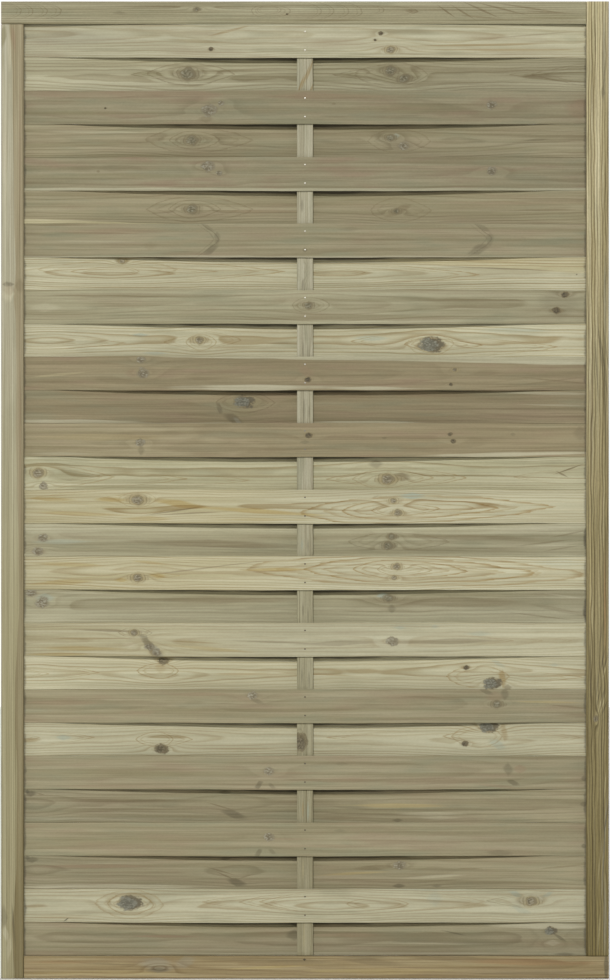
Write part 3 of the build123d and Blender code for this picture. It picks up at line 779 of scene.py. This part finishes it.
               (-488, 22.2, 11, 1.8, -0.2, "brown", 0.5), (-131, -15.8, 28, 8.3, -0.25, "smudge", 0.55),
               (-157, -1.1, 31, 1.8, -0.28, "brown", 0.55), (-341, 9.5, 175, 4.4, 0, "brown", 0.42),
               (-322, -6.3, 175, 2.4, 0, "brown", 0.4), (-149, 24.3, 15, 4.1, 0, "smudge", 0.55),
               (171, 0, 120, 4.8, -0.01, "amber", 0.55), (230, -14.8, 83, 3.7, 0, "pale", 0.55),
               (171, -26.4, 13, 3.7, 0, "smudge", 0.55), (249, -22.2, 41, 3.7, 0, "pale", 0.4),
               (-341, -24.3, 166, 2.8, 0, "pale", 0.35), (396, -1.1, 111, 2.2, 0, "brown", 0.35),
               (514, 3.2, 9, 5.5, 0, "smudge", 0.4), (64, -22.2, 64, 3.7, 0, "brown", 0.35)]),
    25: dict(
        tone="brown", seed=25, pith=(3, 55), ring=4, contrast=0.35, blush=0.4, lichen=0.6, rise=20,
        level=(1.05, 0.93),
        knots=[(-66, 4.6, 9.2, "grey")],
        marks=[(-85, -23.2, 9, 8.3, 0.6, "smudge", 0.5), (-61, -21.3, 9, 5.5, -0.5, "smudge", 0.3),
               (359, -25, 29, 5.9, 0, "smudge", 0.32), (-341, -2.8, 230, 9.2, 0, "olive", 0.3),
               (46, -12.1, 157, 3.7, 0, "pink", 0.3), (514, -12.1, 7, 5.5, 0, "smudge", 0.5),
               (64, 15.8, 15, 3.7, 0, "smudge", 0.2), (-28, 0.9, 74, 2.4, 0, "pink", 0.35),
               (267, 0.9, 184, 5.5, 0, "pale", 0.18)]),
    26: dict(
        tone="brown", seed=26, pith=(4, 34), ring=3.9, contrast=0.6, blush=0.3, lichen=0.4, rise=14,
        level=(0.9, 1.01),
        hills=[(-495, -5, 55), (-129, -4, 55), (175, -4, 74)],
        knots=[(175, 12.1, 11.1, "grey")],
        marks=[(-503, 23.2, 15, 6.6, 0.1, "smudge", 0.5), (-512, 26.9, 7, 4.4, 0, "soot", 0.45),
               (-127, -17.6, 22, 8.3, -0.25, "smudge", 0.62), (-157, 2.8, 31, 1.8, -0.28, "brown", 0.6),
               (-146, -6.5, 24, 1.7, -0.42, "brown", 0.6), (-112, -8.3, 17, 1.7, 0.3, "brown", 0.4),
               (-378, 11.1, 138, 4.4, 0, "pink", 0.6), (-322, -0.9, 175, 2.4, 0, "brown", 0.48),
               (-147, 25, 13, 3.7, 0, "smudge", 0.55), (-356, -26.9, 212, 5.9, 0, "pale", 0.95),
               (131, 8.3, 55, 5.5, 0.05, "brown", 0.55), (83, -2.8, 83, 2.9, 0.05, "amber", 0.5),
               (304, 6.5, 26, 2, 0, "brown", 0.5), (234, -8.3, 83, 2.9, 0.05, "pale", 0.55),
               (173, -25, 13, 4.1, 0, "smudge", 0.6), (243, -25, 13, 2.9, 0, "smudge", 0.4),
               (470, 10.2, 55, 2.2, 0.1, "brown", 0.4), (267, -17.6, 239, 3.3, 0, "brown", 0.3)]),
    27: dict(
        tone="pale", seed=27, pith=(2, 26), ring=3.5, contrast=0.75, blush=0.05, lichen=0.3, rise=8, sway=8,
        level=(0.95, 0.89),
        hills=[(-322, -6, 74), (46, -10, 129), (416, -5, 74)],
        loops=[(-322, 3.6, 44, 44, 20.3, 0, "flame", 0.6), (-322, 3.6, 66, 63, 25.8, 0, "flame", 0.45),
               (-147, 7.2, 44, 0, 7.4, 0, "flame", 0.8), (-79, 7.2, 41, 0, 10.1, 0, "flame", 0.75),
               (-37, 7.2, 46, 0, 12, 0, "flame", 0.7), (133, 3.6, 59, 61, 10.1, 0, "flame", 0.6),
               (378, 9, 41, 0, 9.2, 0, "olive", 0.7), (276, 7.2, 0, 55, 11.1, 0, "flame", 0.35)],
        knots=[(-322, 5.4, 16.6, "stone"), (416, 9, 12.9, "eye")],
        marks=[(-440, -26.1, 6, 1.5, 0.7, "soot", 0.75), (-435, -27.9, 6, 1.8, 0.2, "cream", 0.6),
               (416, 10.8, 29, 13.8, 0.1, "ashen", 0.5), (389, 21.6, 15, 5.9, -0.3, "bloom", 0.65),
               (448, 21.6, 15, 5.5, 0.4, "bloom", 0.55), (239, 12.6, 17, 16.6, 0, "bloom", 0.3),
               (-451, -21.6, 74, 2.2, 0, "flame", 0.35), (396, -5.4, 22, 7.4, -0.4, "bloom", 0.35),
               (230, 28.8, 111, 1.8, 0, "bloom", 0.3)]),
    28: dict(
        tone="brown", seed=28, pith=(3, 40), ring=3.8, contrast=0.5, blush=0.35, lichen=0.4, rise=18,
        level=(0.98, 0.86),
        knots=[(453, 15.5, 8.8, "stone"), (457, -8.9, 9.2, "swirl")],
        marks=[(-258, 4.2, 79, 2.9, -0.01, "pink", 0.75), (-20, 6.1, 18, 11.1, 0, "smudge", 0.5),
               (83, 6.1, 83, 5.5, 0, "pink", 0.45), (451, 24, 122, 6.3, -0.01, "pale", 0.9),
               (276, 9.9, 29, 1.8, -0.2, "smudge", 0.5), (479, -27.8, 26, 2.9, 0, "smudge", 0.55),
               (470, 2.4, 17, 4.1, -0.6, "smudge", 0.55), (-9, -26.8, 534, 2, 0, "pale", 0.45),
               (457, -7.1, 17, 6.4, 0, "pale", 0.35), (267, -8.9, 147, 2.4, 0, "pale", 0.3),
               (-341, 19.3, 147, 2.6, 0, "olive", 0.35), (-378, -14.6, 147, 3.7, 0, "olive", 0.3)]),
}


def makeSlat(number, shape, look):
    # the outline is carried along the bowed line, square to it, and leans with the seams above and below
    node = f"slat_{number:02d}"
    low, high = nodeBox(node)
    side = -1 if number % 2 else 1  # odd slats lie in front of the batten
    half = (high[2] - low[2]) / 2 + shape["close"]  # closes the gap to the next slat
    thick = shape["thickness"] / 2
    corners = squareCorners(half, thick, shape["edge"])
    outline = easedOutline(corners, shape["spacing"], shape["arcSteps"])
    along = np.linspace(low[0], high[0], shape["stations"])[:, None]
    across, depth = outline[None, :, 0], outline[None, :, 1]
    height, slope = bowLine(along, np.abs([low[1], high[1]]).max() - thick, shape)
    lean = np.sqrt(1 + slope**2)
    cup = shape["cup"] * (1 - (across / half) ** 2) * height / height.max()
    offset = depth + side * cup
    apart = np.clip((height - thick) / (height.max() - thick), 0, 1)  # 0 where two slats share a plane
    count = len(slatLooks)
    above = seamLine(number - 1, along, shape, count) + shape["lap"] * apart * (number > 1)
    below = seamLine(number, along, shape, count) - shape["lap"] * apart * (number < count)
    rise = (above + below) / 2 + (above - below) / 2 * across / half
    points = np.stack(np.broadcast_arrays(
        along - offset * side * slope / lean,
        side * height + offset / lean,
        (low[2] + high[2]) / 2 + across + rise), axis=-1)
    board = np.stack(np.broadcast_arrays(along, across, depth), axis=-1)
    wood = woodMaterial(f"slatWood{number:02d}", look, 2 * shape["halfOpening"])
    piece = sweptMesh(f"board_{number:02d}", points * mm, board, wood)
    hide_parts(node)


# painted shade, as marks like those of the looks: at the grooves, where the stiles shade the ends of the
# slats, and a painted shadow under the edge of the slat above, which each front slat casts on the slat
# behind it
grooveShade = [(-520, 0, 7, 60, 0, "soot", 0.6), (520, 0, 7, 60, 0, "soot", 0.6)]
lapShadow = (0, 33, 540, 9.5, 0, "shadowDark", 0.88)
for number, look in slatLooks.items():
    paintedShade = grooveShade if number % 2 else grooveShade + [lapShadow]
    makeSlat(number, slatShape, {**look, "marks": look["marks"] + paintedShade})
print("slats done")

# frame timbers and batten: straight sticks with eased edges, a hair smaller than the solid so that
# the nail heads stand on the wood; notch is the groove's depth and half width and the side it is on
timbers = {
    "left_stile": dict(upright=True, edge=3.0, hold=0.6, notch=(13.0, 3.75, 1), slot="frame_wood"),
    "right_stile": dict(upright=True, edge=3.0, hold=0.6, notch=(13.0, 3.75, -1), slot="frame_wood"),
    "top_rail": dict(upright=False, edge=3.0, hold=0.6, slot="frame_wood"),
    "bottom_rail": dict(upright=False, edge=3.0, hold=0.6, slot="frame_wood"),
    "centre_batten": dict(upright=True, edge=1.0, hold=0.3, slot="batten_wood"),
}
# Looks as for the slats, and on an upright timber along is upwards and across to the right.
# border: along, across. beyond: tone on the border's far side, start, end, amount.
timberLooks = {
    "left_stile": dict(
        tone="ash", seed=41, pith=(-30, 35), ring=3.6, contrast=0.6, rise=10, sway=6, blush=0.15,
        lichen=0.3, zoneWaver=1.2, level=(0.91, 1.04), fibres=0.7,
        # the moss zone and the dark olive zones, here and beyond the border, make the stile darker towards
        # the bottom: partly damp wood, partly painted shade
        zones=[("moss", -1, 0, -450, 300, 1), ("dampAndShade", -1, 12, 500, 1100, 0.3)],
        border=[(-872, 3.9), (-834, 1.5), (-780, -0.9), (-738, 3.9), (-668, 7.6), (-502, 8.7), (-406, 5.2),
                (-335, 5.2), (-263, 8.7), (-193, 12.3), (-73, 11.2), (21, 8.7), (141, 6.3), (235, 7.6),
                (330, 6.3), (378, 2.6), (426, 5.9), (520, 3.3), (782, 0.2), (876, -5.3)],
        beyond=[("tan", -2000, -1000, 1), ("dampAndShade", 250, -250, 0.3), ("dampAndShade", -100, -800, 0.6)],
        marks=[(831, -5.3, 48, 4.4, 0, "cream", 0.5), (400, -8.1, 6, 12, 0, "smudge", 0.55),
               (382, -8.1, 20, 12.9, 0, "cream", 0.6), (389, -6.3, 13, 11.1, 0, "pink", 0.3),
               (-767, -15.5, 24, 7.4, 0, "smudge", 0.4), (-797, -11.8, 18, 5.5, -0.15, "cream", 0.5),
               (-823, -6.3, 29, 5.5, 0.1, "cream", 0.35), (-780, 2, 55, 2.6, -0.08, "smudge", 0.5),
               (592, -13.6, 239, 4.1, 0, "cream", 0.5), (647, 14, 221, 2.8, 0, "pink", 0.35),
               (150, 14, 295, 2.9, 0, "pink", 0.35), (-108, -8.1, 221, 2.6, 0, "olive", 0.35),
               (150, -13.6, 258, 2.2, 0, "olive", 0.3), (397, 14, 17, 9.2, 0, "brown", 0.35),
               (813, -17.3, 33, 2.9, 0, "olive", 0.35), (854, 2, 29, 4.4, -0.1, "pink", 0.6),
               (857, -16.6, 29, 6.6, 0.1, "olive", 0.75)]),
    "right_stile": dict(
        tone="honey", seed=42, pith=(72, 5), ring=5, contrast=1, rise=8, sway=9, waver=6.5, sharp=0.3,
        faintest=0.4, blush=0.1, lichen=0.25, speck=0.3, level=(1.02, 1.06),
        # darker along the outer side and towards the bottom: partly damp wood, partly painted shade
        zones=[("dampAndShade", 0, 1, 2, 16, 0.33), ("dampAndShade", -1, 0, -1100, 1000, 1)],
        knots=[(-443, -2.9, 6.3, "dark")],
        marks=[(712, 9.9, 17, 4.4, 0, "smudge", 0.4), (771, 11.8, 111, 3.7, 0, "ashen", 0.45),
               (145, 13.6, 166, 2.8, -0.02, "smudge", 0.45), (329, 13.6, 111, 2.9, 0, "ashen", 0.4),
               (-224, 13.6, 129, 2.4, 0, "rust", 0.55), (-403, 9, 33, 1.5, 0.24, "soot", 0.5),
               (-415, 5.2, 22, 1.7, 0.26, "straw", 0.7), (-422, 12.9, 17, 1.5, 0.39, "soot", 0.5),
               (-413, 10.7, 24, 1.5, 0.31, "straw", 0.6), (-401, 2.2, 35, 1.3, 0.2, "soot", 0.45),
               (-380, -0.2, 42, 1.3, 0.12, "smudge", 0.6), (-339, 14.4, 17, 1.5, 0.28, "soot", 0.45),
               (-332, 9.9, 28, 1.5, 0.2, "smudge", 0.6), (-290, 5.9, 37, 1.5, 0.13, "smudge", 0.5),
               (-356, 12.7, 22, 1.5, 0.27, "straw", 0.5), (-334, -14, 111, 1.8, -0.02, "smudge", 0.4),
               (-684, 11.8, 111, 2.4, 0.05, "ashen", 0.45), (-804, 13.6, 83, 4.1, 0, "ashen", 0.4),
               (-150, -14, 221, 2, 0, "amber", 0.4), (550, -1.1, 276, 2.2, 0, "cream", 0.35),
               (661, -10.3, 203, 2.2, 0, "cream", 0.4), (-739, -6.6, 129, 2.4, 0, "smudge", 0.35),
               (246, 4.4, 74, 1.7, -0.1, "soot", 0.5), (218, 10.9, 66, 1.7, -0.13, "soot", 0.5),
               (246, 14.6, 52, 1.5, -0.12, "smudge", 0.5), (209, -2, 81, 1.7, -0.06, "smudge", 0.5),
               (172, 15.5, 33, 1.5, -0.16, "soot", 0.45), (-574, 12.7, 44, 1.8, 0.1, "straw", 0.35),
               (-684, 6.3, 74, 2, 0.1, "straw", 0.3), (145, -10.3, 129, 3.7, 0, "brown", 0.4),
               (-224, -10.3, 111, 2.6, 0, "straw", 0.35), (-629, 15.5, 41, 1.7, 0.15, "soot", 0.5),
               (-831, 2.6, 48, 1.8, 0.05, "straw", 0.4)]),
    "top_rail": dict(
        tone="mid", seed=43, pith=(9, 22), ring=3.4, contrast=0.7, bend=2.2, rise=8, sway=6, blush=0.1,
        lichen=0.5, speck=0.2, fibres=0.7,
        loops=[(-519, 2.9, 0, 18, 12.9, 0, "brown", 0.5), (-497, 2.9, 0, 18, 12.9, 0, "brown", 0.55),
               (-473, 2.9, 0, 20, 12.9, 0, "brown", 0.5), (-449, 2.9, 0, 22, 12.9, 0, "brown", 0.55),
               (-47, 4.8, 20, 24, 7.4, 0, "brown", 0.6), (-47, 2.9, 31, 41, 12, 0, "brown", 0.5),
               (34, 2.9, 0, 18, 12.9, 0, "brown", 0.5), (58, 2.9, 0, 18, 12.9, 0, "brown", 0.55),
               (84, 2.9, 0, 20, 12.9, 0, "brown", 0.5), (108, 2.9, 0, 20, 12.9, 0, "brown", 0.5),
               (148, 4.8, 0, 20, 9.2, 0, "brown", 0.55), (203, 2.9, 0, 26, 7.4, 0, "brown", 0.7)],
        knots=[(-12, -2.6, 2.6, "pin"), (-178, 6.6, 5.5, "bruise")],
        marks=[(-178, 4.8, 15, 4.4, 0.2, "smudge", 0.4), (218, 2.9, 17, 4.1, -0.1, "brown", 0.5),
               (-320, -0.7, 17, 4.6, -0.1, "smudge", 0.25), (-430, -9.9, 111, 2.9, 0, "pale", 0.3),
               (-265, 12.2, 111, 2.2, 0, "brown", 0.35), (12, -13.6, 534, 2.9, 0, "olive", 0.4),
               (491, -8.1, 92, 5.5, 0, "olive", 0.35), (281, 2.9, 22, 2.4, -0.7, "brown", 0.7),
               (312, 1.1, 29, 2.4, -0.6, "brown", 0.6), (347, 4.8, 41, 2.4, -0.45, "brown", 0.6),
               (386, 6.6, 52, 2.2, -0.25, "brown", 0.6), (435, 8.5, 74, 2, -0.15, "brown", 0.55),
               (472, 1.1, 66, 2, -0.05, "brown", 0.5), (343, -8.1, 55, 2.4, -0.1, "brown", 0.4)]),
    "bottom_rail": dict(
        tone="rust", seed=44, pith=(8, 50), ring=3.6, contrast=0.75, rise=16, sway=10, blush=0.2,
        lichen=0.1, level=(1.0, 0.93), fibres=0.8,
        # darker towards the right end: partly damp wood, partly painted shade
        zones=[("dampAndShade", 1, 0, 100, 600, 0.15)],
        knots=[(-288, -1.5, 8.3, "swirl")],
        marks=[(-292, 4.1, 39, 16.6, -0.1, "ashen", 0.5), (-292, -5.2, 28, 5.9, 0, "smudge", 0.5),
               (-242, 9.6, 24, 12.9, 0.2, "ashen", 0.4), (-399, -10.7, 157, 5.9, 0, "amber", 0.35),
               (-108, 13.3, 157, 5.9, -0.02, "brown", 0.42), (-85, 0.4, 120, 2.9, 0.05, "amber", 0.65),
               (95, 11.4, 77, 7.7, -0.1, "brown", 0.5), (90, 18.8, 50, 3.7, 0, "smudge", 0.3),
               (246, 16.9, 120, 7.7, -0.05, "brown", 0.42), (136, -7, 157, 7.4, 0, "amber", 0.45),
               (393, 9.6, 138, 7.7, -0.02, "rust", 0.55), (412, -10.7, 138, 5.5, 0, "brown", 0.35),
               (534, 2.2, 5, 29.5, 0, "smudge", 0.75), (-22, 14.2, 3, 2.8, 0, "soot", 0.9),
               (-472, 9.6, 92, 3.7, 0, "rust", 0.35), (-380, 5.9, 83, 2.2, -0.04, "brown", 0.4)]),
    "centre_batten": dict(
        tone="ash", seed=45, pith=(16, 24), ring=2.4, contrast=0.65, rise=10, sway=8, blush=0.05,
        lichen=0.5, speck=0.2, level=(0.92, 0.98), fibres=0.8,
        zones=[("mid", -1, 0, -60, 260, 0.9), ("brown", -1, 0, 350, 700, 0.45)],
        knots=[(-464, -8.3, 15.7, "dark"), (403, 0, 5.5, "swirl")],
        marks=[(748, -7.4, 26, 2.4, 0.35, "flame", 0.75), (759, 0, 31, 2.4, 0.35, "flame", 0.7),
               (770, 7.4, 31, 2.4, 0.35, "flame", 0.65), (737, 11.1, 18, 2.4, 0.35, "flame", 0.6),
               (525, -5.5, 15, 3.3, 0, "smudge", 0.35), (379, -3.7, 17, 2.9, 0, "smudge", 0.35),
               (258, -3.7, 22, 2.6, 0, "smudge", 0.3), (254, 5.5, 18, 2.2, 0, "smudge", 0.3),
               (147, -1.8, 26, 2.9, 0, "smudge", 0.35), (144, 7.4, 18, 2.2, 0, "smudge", 0.3),
               (-101, -5.5, 17, 2.8, 0, "bloom", 0.45), (-103, 5.5, 18, 2.8, 0, "smudge", 0.35),
               (-221, -3.7, 22, 2.2, 0, "smudge", 0.4), (-230, 5.5, 22, 2.2, 0, "smudge", 0.35),
               (-343, -5.5, 26, 2.2, 0, "smudge", 0.35), (-350, 7.4, 22, 2.8, 0, "smudge", 0.35),
               (-589, -3.7, 26, 2.2, 0, "flame", 0.5), (-593, 5.5, 22, 2.2, 0, "bloom", 0.5),
               (-700, -3.7, 29, 2.2, 0, "straw", 0.5), (-823, -1.8, 33, 2.2, 0, "straw", 0.45),
               (-464, -3.7, 24, 8.3, 0, "smudge", 0.5)]),
}
# endRound holds shares of endEase, the way from the end, and of endDraw, by which the outline is smaller
timberShape = dict(
    shy=0.15, uneven=0.15, waves=(410, 170, 77), grooveEdge=0.4, arcSteps=5, spacing=9.0, stations=70,
    firstStation=8.0, endEase=0.9, endDraw=0.72, endRound=((0.0, 1.0), (0.3, 0.3), (1.0, 0.0)))


def makeTimber(node, timber, look, shape):
    # the outline shrinks by shy and a slow wave along the stick, and draws in at the two ends
    low, high = nodeBox(node)
    middle = (low + high) / 2
    axes = (2, 0) if timber["upright"] else (0, 2)  # world axes of along and across
    halfLong, half = (high - low)[list(axes)] / 2
    thick = (high[1] - low[1]) / 2
    corners = squareCorners(half, thick, timber["edge"])
    if "notch" in timber:
        cut, mouth, face = timber["notch"]
        outer, inner = face * half, face * (half - cut)
        steps = ((outer, -face), (inner, -face), (inner, face), (outer, face))
        groove = [(place, way * mouth, shape["grooveEdge"]) for place, way in steps]
        at = 2 if face > 0 else 4  # the right side follows two corners, the left side all four
        corners = corners[:at] + groove + corners[at:]
    outline = easedOutline(corners, shape["spacing"], shape["arcSteps"], timber["hold"])
    inset, drawn = np.array(shape["endRound"]).T * [[shape["endEase"]], [shape["endDraw"]]]
    stations = np.linspace(shape["firstStation"], 2 * halfLong - shape["firstStation"], shape["stations"])
    along = np.concatenate([inset, stations, 2 * halfLong - inset[::-1]])[:, None] - halfLong
    drawnIn = np.concatenate([drawn, 0 * stations, drawn[::-1]])[:, None]
    draw = np.random.default_rng(look["seed"])
    phases = draw.uniform(0, wholeTurn, len(shape["waves"]))
    waves = sum(
        np.sin(2 * math.pi * along / length + phase) for length, phase in zip(shape["waves"], phases)
    )
    unevenness = shape["uneven"] * (waves / len(shape["waves"]) + 1) / 2
    shrink = shape["shy"] + unevenness + drawnIn
    across = outline[None, :, 0] * (1 - shrink / half)
    depth = outline[None, :, 1] * (1 - shrink / thick)
    points = np.empty(np.broadcast_shapes(along.shape, across.shape) + (3,))
    points[..., axes[0]] = middle[axes[0]] + along * (1 - shape["shy"] / halfLong)
    points[..., axes[1]] = middle[axes[1]] + across
    points[..., 1] = middle[1] + depth
    board = np.stack(np.broadcast_arrays(along, across, depth), axis=-1)
    wood = woodMaterial(f"{node}Wood", look, 2 * halfLong)
    piece = sweptMesh(f"timber_{node}", points * mm, board, wood)
    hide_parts(node)


for node, timber in timbers.items():
    makeTimber(node, timber, timberLooks[node], timberShape)
print("frame and batten done")

# brads of the slats, in mm: each ring has its two half sizes and its place from the top of the head inwards
brads = dict(
    edgeDistance=13.5, face=19.6, corners=16, zinc=(srgb(184, 182, 172), srgb(132, 127, 112)),
    rust=srgb(74, 63, 48), rustHeights=(1.25, 0.8),
    rings=((0.75, 0.65, 0.0), (1.2, 1.04, 0.05), (1.42, 1.22, 0.16), (1.5, 1.3, 0.34),
           (1.46, 1.27, 0.6), (0.8, 0.7, 0.62), (0.8, 0.7, 20.0), (0.12, 0.1, 22.0)))


def zincMaterial(shape):
    # spangled zinc, and rust on the lower nails, which fades out between two heights in metres
    material = bpy.data.materials.new("zincSteel")
    material.use_nodes = True
    material.node_tree.nodes.clear()
    wire = Wire(material.node_tree)
    place = wire.make("ShaderNodeTexCoord", {}, {}, "Object")
    spangle = place.noise((900, 900, 900), 3, 2.0)
    rise = wire.make("ShaderNodeSeparateXYZ", {}, {0: place}, 2)
    dull = (rise + spangle * 0.3).ease(*shape["rustHeights"])
    bright = wire.mix(spangle.ease(-0.2, 0.25), *shape["zinc"])
    shade = wire.mix(dull * 0.92, bright, shape["rust"])
    finish = {"Base Color": shade, "Roughness": dull * 0.4 + 0.4, "Metallic": 0.85 - dull * 0.8}
    surface = wire.make("ShaderNodeBsdfPrincipled", {}, finish)
    wire.make("ShaderNodeOutputMaterial", {}, {"Surface": surface})
    return material


def makeBrads(node, numbers, side, shape, material):
    # a rounded oblong, |x|^4 + |z|^4 = 1 scaled ring by ring, carried down every nail at once
    angle = np.linspace(0, 2 * math.pi, shape["corners"], endpoint=False)
    circle = np.stack([np.cos(angle), np.sin(angle)], axis=-1)
    oblong = circle / (np.abs(circle) ** 4).sum(-1, keepdims=True) ** 0.25
    rings = np.array(shape["rings"])
    boxes = np.array([nodeBox(f"slat_{number:02d}") for number in numbers])
    inset = shape["edgeDistance"]
    heights = np.concatenate([boxes[:, 0, 2] + inset, boxes[:, 1, 2] - inset])
    x = rings[None, :, None, 0] * oblong[:, 0]
    z = rings[None, :, None, 1] * oblong[:, 1] + heights[:, None, None]
    y = side * (shape["face"] - rings[None, :, None, 2])
    points = np.stack(np.broadcast_arrays(x, y, z), axis=-1) * mm
    nails, steps, count = points.shape[:3]
    ids = np.arange(nails * steps * count).reshape(nails, steps, count)
    after = np.roll(ids, -1, axis=2)
    quads = np.stack([ids[:, :-1], after[:, :-1], after[:, 1:], ids[:, 1:]], axis=-1).reshape(-1, 4)
    caps = np.concatenate([ids[:, 0, ::-1], ids[:, -1]])
    if side > 0:
        quads, caps = quads[:, ::-1], caps[:, ::-1]
    mesh = bpy.data.meshes.new(node)
    mesh.from_pydata(points.reshape(-1, 3).tolist(), [], quads.tolist() + caps.tolist())
    mesh.polygons.foreach_set("use_smooth", np.ones(len(mesh.polygons), bool))
    mesh.materials.append(material)
    mesh.update()
    piece = bpy.data.objects.new(f"brads_{node}", mesh)
    scene.collection.objects.link(piece)
    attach(piece, "root")
    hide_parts(node)


zinc = zincMaterial(brads)
makeBrads("front_slat_nails", [n for n in slatLooks if n % 2], -1, brads, zinc)
makeBrads("back_slat_nails", [n for n in slatLooks if n % 2 == 0], 1, brads, zinc)
for node in ("corner_nails", "batten_nails"):
    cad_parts[node].data.materials.clear()
    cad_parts[node].data.materials.append(zinc)
print("nails done")

# floor, light and camera
studio = dict(
    floor=60.0, floorTone=srgb(236, 235, 232), floorRoughness=0.9, skyLevel=0.06,
    suns={"key": ((-0.04, -1.0, 0.3), 2.15, 4.0), "rear": ((0.3, 1.0, 0.12), 1.4, 8.0),
          "top": ((0.0, -0.02, 1.0), 1.45, 30.0)})


def makeStudio(shape):
    half = shape["floor"] / 2
    corners = [(-half, -half, 0), (half, -half, 0), (half, half, 0), (-half, half, 0)]
    mesh = bpy.data.meshes.new("floor")
    mesh.from_pydata(corners, [], [(0, 1, 2, 3)])
    material = bpy.data.materials.new("paleFloor")
    material.use_nodes = True
    plain = material.node_tree.nodes["Principled BSDF"]
    plain.inputs["Base Color"].default_value = shape["floorTone"]
    plain.inputs["Roughness"].default_value = shape["floorRoughness"]
    mesh.materials.append(material)
    floor = bpy.data.objects.new("floor", mesh)
    scene.collection.objects.link(floor)

    world = bpy.data.worlds.new("studio")
    scene.world = world
    world.use_nodes = True
    world.node_tree.nodes.clear()
    wire = Wire(world.node_tree)
    seen = [wire.make("ShaderNodeLightPath", {}, {}, ray)
            for ray in ("Is Camera Ray", "Is Glossy Ray", "Is Transmission Ray")]
    direct = wire.math("MAXIMUM", seen[0], wire.math("MAXIMUM", seen[1], seen[2]))
    level = direct * (1.0 - shape["skyLevel"]) + shape["skyLevel"]
    sky = wire.make("ShaderNodeBackground", {}, {"Color": (1, 1, 1, 1), "Strength": level})
    wire.make("ShaderNodeOutputWorld", {}, {"Surface": sky})

    for name, (source, level, spread) in shape["suns"].items():  # towards the sun, its level, degrees
        sun = bpy.data.lights.new(name, "SUN")
        sun.energy = level
        sun.angle = math.radians(spread)
        lamp = bpy.data.objects.new(name, sun)
        lamp.rotation_euler = Vector(source).to_track_quat("Z", "Y").to_euler()
        scene.collection.objects.link(lamp)


makeStudio(studio)

# the photograph is 610 x 980 and the panel fills all but a pixel or so of its height
view = dict(distance=24.0, farthest=200.0, photoHeight=980.0, panelPixels=977.4)


def makeCamera(shape):
    lens = bpy.data.cameras.new("camera")
    middle = (cadLow + cadHigh) / 2
    shown = (cadHigh.z - cadLow.z) * shape["photoHeight"] / shape["panelPixels"]
    lens.lens = lens.sensor_width * shape["distance"] / shown
    lens.clip_end = shape["farthest"]
    camera = bpy.data.objects.new("camera", lens)
    camera.location = (middle.x, cadLow.y - shape["distance"], middle.z)
    camera.rotation_euler = (math.pi / 2, 0, 0)
    scene.collection.objects.link(camera)
    scene.camera = camera


makeCamera(view)
print("studio and camera done")
